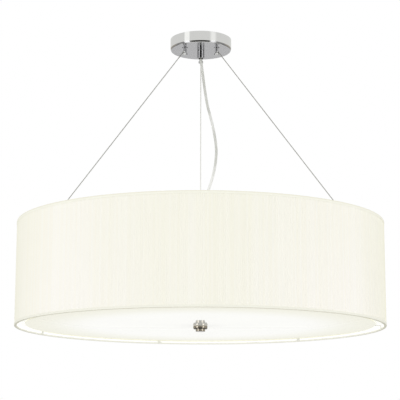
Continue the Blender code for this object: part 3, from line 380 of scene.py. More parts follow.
# Canopy
# A cup spun from sheet and chrome-plated, with a small bevel and a rounded lower edge, open at the ceiling.
# It is drilled for the cord grip, the three posts and the two grub screws in its side.
CANOPY_RADIUS = 0.077
CANOPY_DEPTH = 0.0286
CANOPY_WALL = 0.0012
CANOPY_BEVEL = (0.0013, 0.0034)     # how far in, and how high
CANOPY_ROLL = (0.0008, 0.0005)      # the rounding under the bevel: how far in, and how high
POST_CIRCLE = 0.046
POST_HOLE = 0.0033
SCREW_DROP = 0.0095
SCREW_HOLE = 0.0023
ROD_BORE = 0.0053                   # of whatever the 10 mm stem and rod pass through
EASE_SHARE = 0.36                   # the most of a side that an eased corner takes
EASE_HOLD = 1.3                     # where the point that holds the flat stands, in eases from the corner


def eased(outline, ease, steps=4, closed=True):
    """The outline with each corner P made a curve (1-t)^2 A + 2t(1-t) P + t^2 B between points A and B one
    ease back on its two sides, and a point beyond each that keeps the flats flat."""
    corners = np.array(outline, dtype=float)
    before, after = np.roll(corners, 1, axis=0), np.roll(corners, -1, axis=0)
    t = np.linspace(0.0, 1.0, steps + 1)[None, :, None]
    back, ahead = before - corners, after - corners
    back_length = np.linalg.norm(back, axis=1)
    ahead_length = np.linalg.norm(ahead, axis=1)
    back /= back_length[:, None]
    ahead /= ahead_length[:, None]
    ease = np.broadcast_to(ease, len(corners))
    back *= np.minimum(ease, EASE_SHARE * back_length)[:, None]
    ahead *= np.minimum(ease, EASE_SHARE * ahead_length)[:, None]
    start, end = corners + back, corners + ahead
    curve = ((1 - t) ** 2 * start[:, None] + 2 * t * (1 - t) * corners[:, None] + t ** 2 * end[:, None])
    whole = np.concatenate(((corners + back * EASE_HOLD)[:, None], curve,
                            (corners + ahead * EASE_HOLD)[:, None]), axis=1)
    if not closed:
        return np.vstack((corners[:1], whole[1:-1].reshape(-1, 2), corners[-1:]))
    return whole.reshape(-1, 2)


def lathe(profile, sides, ribs=None):
    """Points of a profile of (radius, height) carried round Z: x = r cos a, y = r sin a. ribs(r, z, a) may
    change the radius over the surface."""
    angle = np.linspace(0.0, math.tau, sides, endpoint=False)[None]
    radius, height = (np.broadcast_to(column[:, None], (len(profile), sides))
                      for column in np.array(profile).T)
    if ribs:
        radius = ribs(radius, height, angle)
    return np.stack((radius * np.cos(angle), radius * np.sin(angle), height), axis=-1)


def drilled(mesh, holes):
    """The mesh with round holes, each from a start to an end point with a radius."""
    cutter = bmesh.new()
    for start, end, radius in holes:
        start, end = Vector(start), Vector(end)
        run = end - start
        tilt = run.to_track_quat("Z", "Y").to_matrix().to_4x4()
        bmesh.ops.create_cone(cutter, cap_ends=True, segments=32, radius1=radius, radius2=radius,
                              depth=run.length, matrix=Matrix.Translation((start + end) / 2) @ tilt)
    tool_mesh = bpy.data.meshes.new("drill")
    cutter.to_mesh(tool_mesh)
    cutter.free()
    whole, tool = new_piece("drilled", mesh), new_piece("drill", tool_mesh)
    boolean = whole.modifiers.new("holes", "BOOLEAN")
    boolean.solver = "EXACT"
    boolean.object = tool
    graph = bpy.context.evaluated_depsgraph_get()
    result = bpy.data.meshes.new_from_object(whole.evaluated_get(graph))
    bpy.data.objects.remove(whole)
    bpy.data.objects.remove(tool)
    result.set_sharp_from_angle(angle=math.radians(40.0))
    return result


CHROME_TINTS = ((0.80, 0.80, 0.82), (0.84, 0.84, 0.85))
chrome, shader, place = new_finish("polished_chrome", {"Metallic": 1.0})
haze = place.grain(70.0, 3.0)
feed(shader, {"Base Color": haze.tint(*CHROME_TINTS), "Roughness": 0.03 + 0.05 * haze})

# The cup's is the same, but its underside is less bright
cup_chrome, shader, place = new_finish("cup_chrome", {"Metallic": 1.0})
haze = place.grain(70.0, 3.0)
satin = 1.0 - (place.axis(2) + CANOPY_DEPTH).eased_step(0.0001, 0.0006)
feed(shader, {"Base Color": haze.tint(*CHROME_TINTS), "Roughness": 0.03 + 0.05 * haze + 0.13 * satin})

canopy_top = levels("canopy_cup")[1]
inner = CANOPY_RADIUS - CANOPY_WALL
bevel_in, bevel_up = CANOPY_BEVEL
roll_in, roll_up = CANOPY_ROLL
cup = [(CANOPY_RADIUS, canopy_top), (CANOPY_RADIUS, bevel_up + roll_up - CANOPY_DEPTH),
       (CANOPY_RADIUS - bevel_in, roll_up - CANOPY_DEPTH),
       (CANOPY_RADIUS - bevel_in - roll_in, -CANOPY_DEPTH), (ROD_BORE, -CANOPY_DEPTH),
       (ROD_BORE, CANOPY_WALL - CANOPY_DEPTH), (inner, CANOPY_WALL - CANOPY_DEPTH), (inner, canopy_top)]
cup_eases = (0.0003, 0.0004, 0.0003, 0.0002, 0.0002, 0.0002, 0.0022, 0.0003)
cup_mesh = skin("canopy", lathe(eased(cup, cup_eases), 192), cup_chrome, join_rows=True)
post_spots = [heading(azimuth) @ Vector((POST_CIRCLE, 0.0, 0.0)) for azimuth in SIDES.values()]
cup_holes = [(spot - Vector((0, 0, 0.031)), spot - Vector((0, 0, 0.025)), POST_HOLE) for spot in post_spots]
cup_holes += [((side * 0.073, 0.0, -SCREW_DROP), (side * 0.080, 0.0, -SCREW_DROP), SCREW_HOLE)
              for side in (-1, 1)]
canopy = new_piece("canopy", drilled(cup_mesh, cup_holes))
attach(canopy, "fixture")
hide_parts("canopy_cup")


# Grub screws
# Two chromed M4 screws, level with the canopy's side, with a hexagon socket. They press on the bracket's
# ears and hold the cup there.
SOCKET = 0.001                      # from the socket's middle to a side


def hexagon(angle, across):
    """Radius of a hexagon with this distance from its middle to a side."""
    return across / np.cos((angle + math.pi / 6) % (math.pi / 3) - math.pi / 6)


def socket_ribs(radius, height, angle):
    """The socket's rows, which are the inner ones, follow a hexagon."""
    return np.where(radius < 1.01 * SOCKET, np.minimum(1.0, radius / SOCKET) * hexagon(angle, SOCKET), radius)


screw_outline = [(0.0, -0.006), (0.0014, -0.006), (0.002, -0.0054), (0.002, -0.0002), (0.0018, 0.0),
                 (SOCKET, 0.0), (SOCKET, -0.0015), (0.0, -0.0018)]
for side, name in ((-1, "left"), (1, "right")):
    screw = skinned("grub_screw_" + name, lathe(screw_outline, 48, socket_ribs), chrome,
                    Matrix.Translation((side * CANOPY_RADIUS, 0.0, -SCREW_DROP))
                    @ Matrix.Rotation(side * math.pi / 2, 4, "Y"), smooth_angle=30.0)
    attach(screw, "screw_" + name)
    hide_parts("canopy_screw_" + name)


# Cord grip under the canopy
# A hollow threaded stem with a locknut inside the cup, a plain chromed nut round it, and a black rubber
# insert that is squeezed on to the flex and shows as a lip at the bottom.
STEM_RADIUS = 0.005
STEM_BORE = 0.0037
STEM_PITCH = 0.001
GAP = 0.0003                        # between neighbours that do not touch
GRIP_RADIUS = 0.009
NUT_ACROSS = 0.0085 * math.cos(math.pi / 6)
NUT_HEIGHT = 0.005
CHAMFER = 0.0003                    # of a nut's bore


def thread(radius, height, angle, crest=STEM_RADIUS, depth=0.00045, pitch=STEM_PITCH):
    """A round thread: rows at the crest's radius sink by depth (1 - cos(2 pi z / pitch - a)) / 2."""
    groove = depth * (1 - np.cos(math.tau * height / pitch - angle)) / 2
    return np.where(np.abs(radius - crest) < 0.00001, radius - groove, radius)


def threaded_rows(low, high):
    """Rows of a threaded length of stem or rod, four to a turn of the thread."""
    heights = np.linspace(low, high, int((high - low) / STEM_PITCH * 4) + 2)
    return [(STEM_RADIUS, height) for height in heights]


def hex_nut(low, height, across, bore):
    """Grid of a hexagon nut: each row is the smaller of the hexagon and a circle, so that the corners are
    chamfered at both faces, and the rows go round from the bore's foot over the outside to its top."""
    corner = across / math.cos(math.pi / 6)
    chamfer = corner - across
    high = low + height
    rows = [(bore + CHAMFER, low), (across * 0.97, low), (across + chamfer * 0.5, low + chamfer * 0.35),
            (corner, low + chamfer * 0.75), (corner, low + height / 2),
            (corner, high - chamfer * 0.75), (across + chamfer * 0.5, high - chamfer * 0.35),
            (across * 0.97, high), (bore + CHAMFER, high), (bore, high - CHAMFER), (bore, low + CHAMFER)]
    return lathe(rows, 72, lambda radius, z, angle: np.where(
        radius > bore + CHAMFER + 0.0001, np.minimum(radius, hexagon(angle, across)), radius))


stem_low, stem_high = levels("gland_stem")
stem_rows = [(STEM_BORE, stem_low)] + threaded_rows(stem_low, stem_high) + [(STEM_BORE, stem_high)]
stem = skinned("cord_grip_stem", lathe(stem_rows, 32, thread), zinc, join_rows=True, smooth_angle=50.0)
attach(stem, "fixture")
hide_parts("gland_stem")

locknut = skinned("cord_grip_locknut", hex_nut(levels("gland_locknut")[0], NUT_HEIGHT, NUT_ACROSS, ROD_BORE),
                  zinc, join_rows=True, smooth_angle=30.0)
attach(locknut, "fixture")
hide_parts("gland_locknut")

grip_low, grip_high = levels("gland_nut")
grip_outline = [(ROD_BORE, grip_high), (GRIP_RADIUS, grip_high), (GRIP_RADIUS, grip_low),
                (ROD_BORE, grip_low), (ROD_BORE, grip_low + 0.005)]
grip = skinned("cord_grip_nut", lathe(eased(grip_outline, 0.0006), 96), chrome, join_rows=True)
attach(grip, "gland_nut")
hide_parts("gland_nut")

black_rubber, shader, place = new_finish("black_rubber", {"Specular IOR Level": 0.3})
bloom = place.grain(400.0, 3.0)
feed(shader, {"Base Color": bloom.tint((0.018, 0.018, 0.018), (0.045, 0.045, 0.043)),
              "Roughness": 0.5 + 0.2 * bloom,
              "Normal": place.grain(1500.0).relief(0.2, 0.00005)})
insert_low, insert_high = levels("gland_insert")
insert_outline = [(0.0, insert_high), (0.005, insert_high), (0.005, grip_low - GAP),
                  (0.0056, grip_low - GAP), (0.0056, insert_low), (0.0036, insert_low),
                  (0.0036, insert_low + 0.004), (0.0, insert_low + 0.004)]
insert = skinned("cord_grip_insert", lathe(eased(insert_outline, 0.0004, closed=False), 48), black_rubber)
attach(insert, "fixture")
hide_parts("gland_insert")


# Cable posts
# Each upper post is a turned and chromed pin: a flange on the canopy, a slim neck with a slanted bore for
# the wire, and a spigot that its knurled clamping cap turns on. The lower posts on the carrier arms are the
# same, the other way up. A stud through the sheet and a hexagon nut hold each of them.
POST_NECK = 0.004
POST_FLANGE = 0.0072
STUD_RADIUS = 0.003
STUD_LENGTH = 0.0075                # past the sheet
SPIGOT = 0.0026
CAP_RADIUS = 0.0061
WIRE_ENTRY = 0.0045                 # height of the wire's bore over the sheet
WIRE_BORE = 0.001
LOWER_CIRCLE = 0.394
ARM_THICKNESS = 0.003
KNURLS = 30
KNURL_DEPTH = 0.00012

arm_top = levels("lower_post_rear")[0] + STUD_LENGTH + ARM_THICKNESS
wire_line = (Vector((LOWER_CIRCLE, 0.0, arm_top + WIRE_ENTRY))
             - Vector((POST_CIRCLE, 0.0, -CANOPY_DEPTH - WIRE_ENTRY))).normalized()


def knurl(radius, height, angle):
    """Fine upright ridges on a cap's widest rows: r falls by up to KNURL_DEPTH, KNURLS times round."""
    ridge = KNURL_DEPTH * (1 - np.abs(np.cos(KNURLS / 2 * angle)))
    return np.where(radius > CAP_RADIUS - 0.00002, radius - ridge, radius)


def post_rows(panel):
    """A post from its stud's tip through the panel to its neck, upwards."""
    tip = -panel - STUD_LENGTH
    return [(0.0, tip), (SPIGOT, tip), (STUD_RADIUS, tip + 0.0004), (STUD_RADIUS, GAP), (POST_FLANGE, GAP),
            (POST_FLANGE, 0.0014), (POST_NECK, 0.0014), (POST_NECK, 0.0119)]


upper_rows = post_rows(CANOPY_WALL) + [(SPIGOT, 0.0119), (SPIGOT, 0.0164), (0.0, 0.0164)]
cap_rows = [(0.0, 0.0167), (SPIGOT + GAP, 0.0167), (SPIGOT + GAP, 0.0122), (POST_NECK, 0.0122),
            (CAP_RADIUS, 0.0144), (CAP_RADIUS, 0.0182), (0.0055, 0.0188), (0.0, 0.0188)]
lower_rows = post_rows(ARM_THICKNESS) + [(CAP_RADIUS, 0.0141), (CAP_RADIUS, 0.0179), (0.0055, 0.0185),
                                         (0.0, 0.0185)]
for side, azimuth in SIDES.items():
    turned_to = heading(azimuth)
    upper_place = (turned_to @ Matrix.Translation((POST_CIRCLE, 0.0, -CANOPY_DEPTH))
                   @ Matrix.Rotation(math.pi, 4, "X"))
    lower_place = turned_to @ Matrix.Translation((LOWER_CIRCLE, 0.0, arm_top))
    for name, rows, way, piece_place, node, panel in (
            ("upper_post_", upper_rows, 1.0, upper_place, "top_post_", CANOPY_WALL),
            ("arm_post_", lower_rows, -1.0, lower_place, "lower_post_", ARM_THICKNESS)):
        mesh = skin(name + side, lathe(eased(rows, 0.0002, 3, closed=False), 120, knurl), chrome)
        entry = Vector((0.0, 0.0, WIRE_ENTRY))
        slope = Vector((way * wire_line.x, 0.0, abs(wire_line.z)))
        mesh = drilled(mesh, [(entry + slope * 0.0017, entry + slope * 0.009, WIRE_BORE)])
        mesh.transform(piece_place)
        post = new_piece(name + side, mesh)
        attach(post, "fixture")
        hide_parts(node + side)
        nut = skinned("stud_nut_" + name + side, hex_nut(-panel - 0.0043, 0.004, 0.005, STUD_RADIUS + 0.0001),
                      zinc, piece_place, join_rows=True, smooth_angle=30.0)
        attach(nut, "fixture")
    cap = skinned("clamp_cap_" + side, lathe(eased(cap_rows, 0.0002, 3, closed=False), 120, knurl), chrome,
                  upper_place)
    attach(cap, "cap_" + side)
    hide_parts("top_cap_" + side)


# Carrier arms and plate
# Three flat steel arms are riveted to a round plate on the rod and slope up to a lipped seat under the
# shade's top ring. All of it is powder-coated white. They are the solids themselves.
white_enamel, shader, place = new_finish("white_powder_coat", {"Coat Weight": 0.15, "Coat Roughness": 0.2})
peel = place.grain(1100.0, 2.0)
cloud = place.grain(30.0, 3.0)
feed(shader, {"Base Color": cloud.tint((0.88, 0.88, 0.86), (0.93, 0.93, 0.91)),
              "Roughness": 0.32 + 0.1 * cloud,
              "Normal": peel.relief(0.18, 0.00006)})
finish_solids(white_enamel, "carrier_arm_left", "carrier_arm_right", "carrier_arm_rear", "carrier_plate")


# Centre rod and its nuts
# A zinc-plated M10 threaded tube from the upper grip down to the finial, with a round lock collar under the
# plate and one over the lamp body, a hexagon nut at the plate, the lamp body and the diffuser, and a fluted
# white grip for the flex on its top.
COLLAR_RADIUS = 0.008
COLLAR_HEIGHT = 0.005
LOWER_GRIP_RADIUS = 0.008

rod_low, rod_high = levels("centre_rod")
plate_low = levels("carrier_plate")[0]
body_low, body_high = levels("lamp_body")
# The upper and lower face of each collar
collars = ((plate_low - GAP, plate_low - GAP - COLLAR_HEIGHT),
           (body_high + GAP + COLLAR_HEIGHT, body_high + GAP))
rod_profile = [(0.0, rod_high)]
stops = [rod_high] + [face for collar in collars for face in collar] + [rod_low]
for high, low in zip(stops[0::2], stops[1::2]):
    rod_profile += threaded_rows(low, high)[::-1]
    if low > rod_low:
        foot = dict(collars)[low]
        rod_profile += [(COLLAR_RADIUS - 0.0004, low), (COLLAR_RADIUS, low - 0.0004),
                        (COLLAR_RADIUS, foot + 0.0004), (COLLAR_RADIUS - 0.0004, foot)]
rod_profile += [(0.0, rod_low)]


def rod_ribs(radius, height, angle):
    """The rod's thread, and 24 grip notches round its collars."""
    notch = 0.0004 * (1 - np.abs(np.cos(12 * angle)))
    return np.where(radius > COLLAR_RADIUS - 0.0001, radius - notch, thread(radius, height, angle))


rod = skinned("threaded_rod", lathe(rod_profile, 48, rod_ribs), zinc, smooth_angle=50.0)
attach(rod, "fixture")
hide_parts("centre_rod")
for node in ("plate_nut", "lamp_body_nut", "diffuser_nut"):
    nut = skinned("rod_" + node, hex_nut(levels(node)[0], NUT_HEIGHT, NUT_ACROSS, ROD_BORE), zinc,
                  join_rows=True, smooth_angle=30.0)
    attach(nut, "fixture")
    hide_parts(node)

grip_low, grip_high = levels("lower_gland")
grip_rows = [(0.0, rod_high + GAP), (ROD_BORE, rod_high + GAP), (ROD_BORE, grip_low),
             (LOWER_GRIP_RADIUS, grip_low), (LOWER_GRIP_RADIUS, grip_high - 0.0044), (0.0042, grip_high),
             (0.0036, grip_high), (0.0036, grip_high - 0.004), (0.0, grip_high - 0.004)]


def grip_ribs(radius, height, angle):
    """Sixteen flutes round the grip's widest rows."""
    flute = 0.0003 * (1 - np.abs(np.cos(8 * angle)))
    return np.where(radius > LOWER_GRIP_RADIUS - 0.00005, radius - flute, radius)


lower_grip = skinned("rod_cord_grip", lathe(eased(grip_rows, 0.0005, 3, closed=False), 96, grip_ribs),
                     white_plastic)
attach(lower_grip, "lower_gland")
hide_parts("lower_gland")


# Lamp body
# A cup spun from steel and coated white, hung on the rod with its mouth down, and its flat cover. The lamps'
# wires meet inside it.
BODY_RADIUS = 0.055
BODY_WALL = 0.0015

body_inner = BODY_RADIUS - BODY_WALL
body_rows = [(ROD_BORE, body_high), (BODY_RADIUS, body_high), (BODY_RADIUS, body_low), (body_inner, body_low),
             (body_inner, body_high - BODY_WALL), (ROD_BORE, body_high - BODY_WALL)]
body_eases = (0.0002, 0.003, 0.0005, 0.0005, 0.002, 0.0002)
lamp_body = skinned("lamp_cup", lathe(eased(body_rows, body_eases), 144), white_enamel, join_rows=True)
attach(lamp_body, "fixture")
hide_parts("lamp_body")
cover_rows = [(ROD_BORE, body_low + BODY_WALL), (body_inner - GAP, body_low + BODY_WALL),
              (body_inner - GAP, body_low), (ROD_BORE, body_low)]
cover = skinned("lamp_cup_cover", lathe(eased(cover_rows, 0.0004), 144), white_enamel, join_rows=True)
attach(cover, "fixture")
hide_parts("lamp_body_cover")


# Lamps
# Six tubes from the lamp body carry moulded lampholders with a grip ring at the mouth. Each takes a frosted
# globe bulb on a screw cap, which is lit. The profiles run outwards from the light's axis.
TUBE_RADIUS = 0.005
TUBE_END = 0.110
TUBE_SPIGOT = (0.004, 0.0065)       # radius and length of its plain ends
TUBE_FLANGE = (0.009, 0.002)        # radius and thickness
HOLDER_END = 0.1563
HOLDER_RADIUS = 0.019
HOLDER_MOUTH = 0.0135
GLOBE = 0.030
BULB_NECK = 0.0145
BULB_LENGTH = 0.108
SCREW_RADIUS = 0.0129
SCREW_DEPTH, SCREW_PITCH = 0.0008, 0.0036

lamp_height = (body_low + body_high) / 2
holder_back = TUBE_END + GAP
tube_start = BODY_RADIUS + GAP
spigot, spigot_length = TUBE_SPIGOT
flange, flange_end = TUBE_FLANGE[0], tube_start + TUBE_FLANGE[1]
tube_rows = [(0.0, BODY_RADIUS - spigot_length), (spigot, BODY_RADIUS - spigot_length),
             (spigot, tube_start), (flange, tube_start), (flange, flange_end),
             (TUBE_RADIUS, flange_end), (TUBE_RADIUS, TUBE_END), (spigot, TUBE_END),
             (spigot, TUBE_END + spigot_length), (0.0, TUBE_END + spigot_length)]
holder_rows = [(0.0043, holder_back), (0.012, holder_back), (HOLDER_RADIUS, holder_back + 0.012),
               (HOLDER_RADIUS, HOLDER_END - 0.0152), (0.0178, HOLDER_END - 0.014),
               (HOLDER_RADIUS, HOLDER_END - 0.0128), (HOLDER_RADIUS, HOLDER_END),
               (HOLDER_MOUTH, HOLDER_END), (HOLDER_MOUTH, holder_back + 0.012),
               (0.0043, holder_back + 0.003)]
crown = HOLDER_END - 0.027 + BULB_LENGTH
angle = np.radians(np.linspace(0.0, 118.0, 22))
globe_rows = np.stack((GLOBE * np.sin(angle), crown - GLOBE + GLOBE * np.cos(angle)), axis=1)
neck_rows = cubic(np.linspace(0.0, 1.0, 14)[1:, None],
                  globe_rows[-1], 0.050 * np.array((math.cos(angle[-1]), -math.sin(angle[-1]))),
                  np.array((BULB_NECK, HOLDER_END + 0.0043)), np.array((0.0, -0.030)))
glass_rows = np.vstack((globe_rows, neck_rows, ((BULB_NECK, HOLDER_END + GAP), (0.0, HOLDER_END + GAP))))
cap_low = HOLDER_END - 0.024
screw_rows = [(SCREW_RADIUS, height) for height in np.linspace(cap_low + 0.002, HOLDER_END, 34)][::-1]
screw_rows = [(0.0, HOLDER_END)] + screw_rows + [(0.011, cap_low), (0.004, cap_low - 0.002),
                                                 (0.004, cap_low - 0.003), (0.0, cap_low - 0.003)]

lit_glass, shader, place = new_finish("lit_opal_glass", {
    "Emission Strength": 0.5, "Coat Weight": 0.6, "Coat Roughness": 0.05})
frost = place.grain(60.0, 2.0)
feed(shader, {"Base Color": frost.tint((0.78, 0.77, 0.73), (0.82, 0.81, 0.77)),
              "Emission Color": frost.tint((0.95, 0.86, 0.70), (1.0, 0.92, 0.78)),
              "Roughness": 0.2 + 0.1 * frost})
nickel, shader, place = new_finish("nickel_cap", {"Metallic": 1.0})
cloud = place.grain(200.0)
feed(shader, {"Base Color": cloud.tint((0.62, 0.61, 0.58), (0.72, 0.71, 0.68)),
              "Roughness": 0.22 + 0.12 * cloud})


def holder_ribs(radius, height, angle):
    """The mouth's grip ring has 36 upright ribs: r falls by up to 0.5 mm between them."""
    rib = 0.0005 * (1 - np.abs(np.cos(18 * angle)))
    return np.where((radius > HOLDER_RADIUS - 0.0002) & (height > HOLDER_END - 0.013), radius - rib, radius)


def cap_thread(radius, height, angle):
    """The screw cap's round thread."""
    return thread(radius, height, angle, crest=SCREW_RADIUS, depth=SCREW_DEPTH, pitch=SCREW_PITCH)


for number in range(1, 7):
    lamp_place = (Matrix.Translation((0.0, 0.0, lamp_height)) @ heading(30.0 + 60.0 * (number - 1))
                  @ Matrix.Rotation(math.pi / 2, 4, "Y"))
    bulb_body = f"bulb_{number}"
    made = (
        ("lamp_tube", "lamp_arm", "fixture", white_enamel, "white_enamel",
         lathe(eased(tube_rows, 0.0004, 3, closed=False), 36), False),
        ("holder_shell", "lampholder", "fixture", white_plastic, "white_plastic",
         lathe(eased(holder_rows, 0.0006, 3), 144, holder_ribs), True),
        ("bulb_glass", "bulb", bulb_body, lit_glass, "opal_glass", lathe(glass_rows, 64), False),
        ("bulb_screw_cap", None, bulb_body, nickel, "opal_glass", lathe(screw_rows, 36, cap_thread), False),
    )
    for name, node, body, material, slot_name, points, ring in made:
        piece = skinned(f"{name}_{number}", points, material, lamp_place, join_rows=ring, smooth_angle=50.0)
        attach(piece, body)
        if node:
            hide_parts(f"{node}_{number}")


# Shade lining
# A stiff white film, 0.8 mm, rolled to a drum, that carries the pleated cloth. The lamps' light on it from
# inside is painted as a glow, strong near its foot, where the gap round the diffuser lets it be seen, and
# faint above.
LINING_OUT, LINING_IN = 0.4491, 0.4483
FILM_INSET = 0.0007                 # of its edges, inside the edge tapes
DRUM_SIDES = 240
shade_low, shade_high = levels("bottom_hem")[0], levels("top_hem")[1]
wall_low, wall_high = shade_low + FILM_INSET, shade_high - FILM_INSET

white_film, shader, place = new_finish("white_film", {"Emission Strength": 0.5, "Specular IOR Level": 0.4})
pores = place.grain(500.0, 3.0)
# Painted light: the film glows strongly near its foot and faintly above
above_painted_glow = place.axis(2).eased_step(shade_low + 0.012, shade_low + 0.06)
feed(shader, {"Base Color": pores.tint((0.78, 0.78, 0.75), (0.82, 0.82, 0.79)),
              "Emission Color": above_painted_glow.tint((1.0, 1.0, 0.97), (0.07, 0.068, 0.06)),
              "Roughness": 0.4 + 0.12 * pores,
              "Normal": pores.relief(0.08, 0.00004)})
lining_rows = [(LINING_OUT, wall_high), (LINING_OUT, wall_low), (LINING_IN, wall_low), (LINING_IN, wall_high)]
lining = skinned("lining_film", lathe(eased(lining_rows, 0.0002, 2), DRUM_SIDES), white_film, join_rows=True)
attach(lining, "fixture")
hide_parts("shade_lining")


# Pleated cover
# Ivory cloth in fine upright knife pleats, 4.5 mm apart, bonded to the lining. No two pleats lie quite the
# same, which gives the drum its faint upright streaks. The light inside that shows through it is painted as a
# glow in four broad soft bands, fading towards the top, and its two sides have painted shade.
PLEATS = 628
FOLD_RADIUS = 0.45025
VALLEY_RADIUS = 0.44958
BACK_RADIUS = 0.44935
PLEAT_ROWS = 14
THREAD_SPACING = 0.00034

ivory_cloth, shader, place = new_finish("ivory_cloth", {
    "Emission Strength": 0.125, "Specular IOR Level": 0.05})
east, north, height = (place.axis(number) for number in range(3))
round_share = north.maths("ARCTAN2", east) * (PLEATS / math.tau)
pleat_tone = round_share.add("ShaderNodeTexWhiteNoise", {"noise_dimensions": "1D"},
                             {"W": round_share.maths("FLOOR")})
broad_tone = place.grain(9.0, 2.0, (1.0, 1.0, 0.15))
tone = pleat_tone * 0.45 + broad_tone * 0.75
angle = round_share * (math.tau / PLEATS)
# Painted light: glow in four bands, less towards the top, and painted shade on the two sides
painted_glow_bands = (0.5 - 0.5 * (angle * 4.0).maths("COSINE")) ** 1.4
painted_side_shade = (0.5 + 0.5 * (angle * 2.0).maths("COSINE")) ** 5.0
upper = height.eased_step(shade_low, shade_high - 0.03)
glow = painted_glow_bands * (0.80 - 0.22 * upper) + 0.2 * (1.0 - upper)
threads_up = (round_share * math.tau * 14.0).maths("SINE")
threads_across = (height * (math.tau / THREAD_SPACING)).maths("SINE")
feed(shader, {"Base Color": tone.tint((0.906, 0.891, 0.768), (0.938, 0.926, 0.850)),
              "Emission Color": painted_side_shade.tint(glow.tint((0.49, 0.49, 0.38), (0.86, 0.79, 0.99)),
                                               (0.30, 0.30, 0.02)),
              "Roughness": 0.75 + 0.1 * broad_tone,
              "Normal": (threads_up + threads_across).relief(0.05, 0.00002)})

chance = np.random.default_rng(7)
across = np.array((0.0, 0.12, 0.36, 0.62, 0.88))        # points of one pleat, as shares of its width
lift = np.array((1.0, 0.95, 0.68, 0.36, 0.05))          # and their heights, from valley to fold
heights = np.linspace(wall_low, wall_high, PLEAT_ROWS)
rise = (heights - wall_low) / (wall_high - wall_low)
phase, sway, depth = (chance.uniform(low, high, (PLEATS, 1)) for low, high in
                      ((0.0, math.tau), (0.0, 0.03), (0.72, 1.0)))
lean = chance.normal(0.0, 0.02, (PLEATS, 1)) * (rise[None] - 0.5)
drift = sway * np.sin(phase + rise[None] * math.tau * 0.8) + lean
place_round = (np.arange(PLEATS)[:, None, None] + across[None, :, None] + drift[:, None]) / PLEATS
radius = VALLEY_RADIUS + (FOLD_RADIUS - VALLEY_RADIUS) * lift[None, :, None] * depth[:, None]
radius = radius + 0.00005 * np.sin(phase[:, None] * 3 + rise[None, None] * 9.0)
turn_at = place_round.reshape(-1, PLEAT_ROWS).T * math.tau
radius = np.minimum(np.broadcast_to(radius, place_round.shape).reshape(-1, PLEAT_ROWS).T, FOLD_RADIUS)
front = np.stack((radius * np.cos(turn_at), radius * np.sin(turn_at),
                  np.broadcast_to(heights[:, None], radius.shape)), axis=-1)
back = front[[-1, 0]].copy()
back[..., :2] *= BACK_RADIUS / np.linalg.norm(back[..., :2], axis=-1, keepdims=True)
cover = skinned("pleated_cover", np.vstack((front, back)), ivory_cloth, join_rows=True, smooth_angle=50.0)
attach(cover, "fixture")
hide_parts("shade_cover")


# Edge tapes
# Ivory tape, 0.4 mm, rolled over the shade's top and bottom edges and glued down: 6 mm of it shows outside,
# and 2.6 mm inside, where it wraps the wire ring. A painted glow makes it brighter inside and along the top,
# and painted shade makes it darker on its fold.
TAPE = 0.0004
TAPE_OUT, TAPE_IN = 0.4507, 0.4443
TAPE_OUTSIDE, TAPE_INSIDE = 0.006, 0.0026               # widths that show
TAPE_EASES = (0.0009, 0.0001, 0.0001, 0.0004, 0.0004, 0.0001, 0.0001, 0.0009)

tape_cloth, shader, place = new_finish("ivory_tape", {"Emission Strength": 0.2, "Specular IOR Level": 0.1})
east, north, height = (place.axis(number) for number in range(3))
ribs = (north.maths("ARCTAN2", east) * 2600.0).maths("SINE")
cloud = place.grain(14.0, 3.0)
outside = ((east * east + north * north) ** 0.5).eased_step(TAPE_IN + 0.0001, TAPE_IN + 0.0009)
upper = height.eased_step(shade_low + 0.1, shade_high - 0.1)
from_fold = (height - shade_low).maths("MINIMUM", shade_high - height) * (1.0 - 0.72 * upper)
# Painted shade darkens the fold; a painted glow brightens the tape's inside and its top
fold = outside * (1.0 - from_fold.eased_step(0.0002, 0.0012)) * 0.36
feed(shader, {"Base Color": fold.tint(cloud.tint((0.87, 0.865, 0.765), (0.92, 0.915, 0.82)),
                                      (0.60, 0.57, 0.40)),
              "Emission Color": outside.tint((1.0, 0.99, 0.92),
                                             upper.tint((0.28, 0.275, 0.24), (0.52, 0.515, 0.46))),
              "Roughness": 0.7 + 0.1 * cloud,
              "Normal": ribs.relief(0.2, 0.00005)})
for name, edge, inward in (("top", shade_high, -1), ("bottom", shade_low, 1)):
    outer_end, inner_end, web = (edge + inward * width for width in (TAPE_OUTSIDE, TAPE_INSIDE, TAPE))
    tape_rows = [(TAPE_OUT, edge), (TAPE_OUT, outer_end), (TAPE_OUT - TAPE, outer_end),
                 (TAPE_OUT - TAPE, web), (TAPE_IN + TAPE, web), (TAPE_IN + TAPE, inner_end),
                 (TAPE_IN, inner_end), (TAPE_IN, edge)]
    tape = skinned(name + "_edge_tape", lathe(eased(tape_rows, TAPE_EASES), DRUM_SIDES), tape_cloth,
                   join_rows=True)
    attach(tape, "fixture")
    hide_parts(name + "_hem")


# Wire rings and diffuser clips
# A 3 mm steel wire ring, coated white, stiffens each edge inside its tape. Seven small clips of bent strip
# are welded to the bottom ring, with a tongue over the diffuser's edge that keeps it level.
RING_MIDDLE = 0.4465
RING_WIRE = 0.0015
CLIPS = 7
CLIP_WIDTH = 0.009
CLIP_STRIP = 0.0008
CLIP_LEG, CLIP_WELD, CLIP_TIP = 0.4430, 0.4473, 0.421   # distances from Z

section = np.linspace(0.0, math.tau, 16, endpoint=False)
for name, middle in (("top", wall_high - RING_WIRE), ("bottom", wall_low + RING_WIRE)):
    ring_rows = np.stack((RING_MIDDLE + RING_WIRE * np.cos(section), middle + RING_WIRE * np.sin(section)), 1)
    ring = skinned(name + "_wire_ring", lathe(ring_rows, DRUM_SIDES), white_enamel, join_rows=True)
    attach(ring, "fixture")
    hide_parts(name + "_ring")
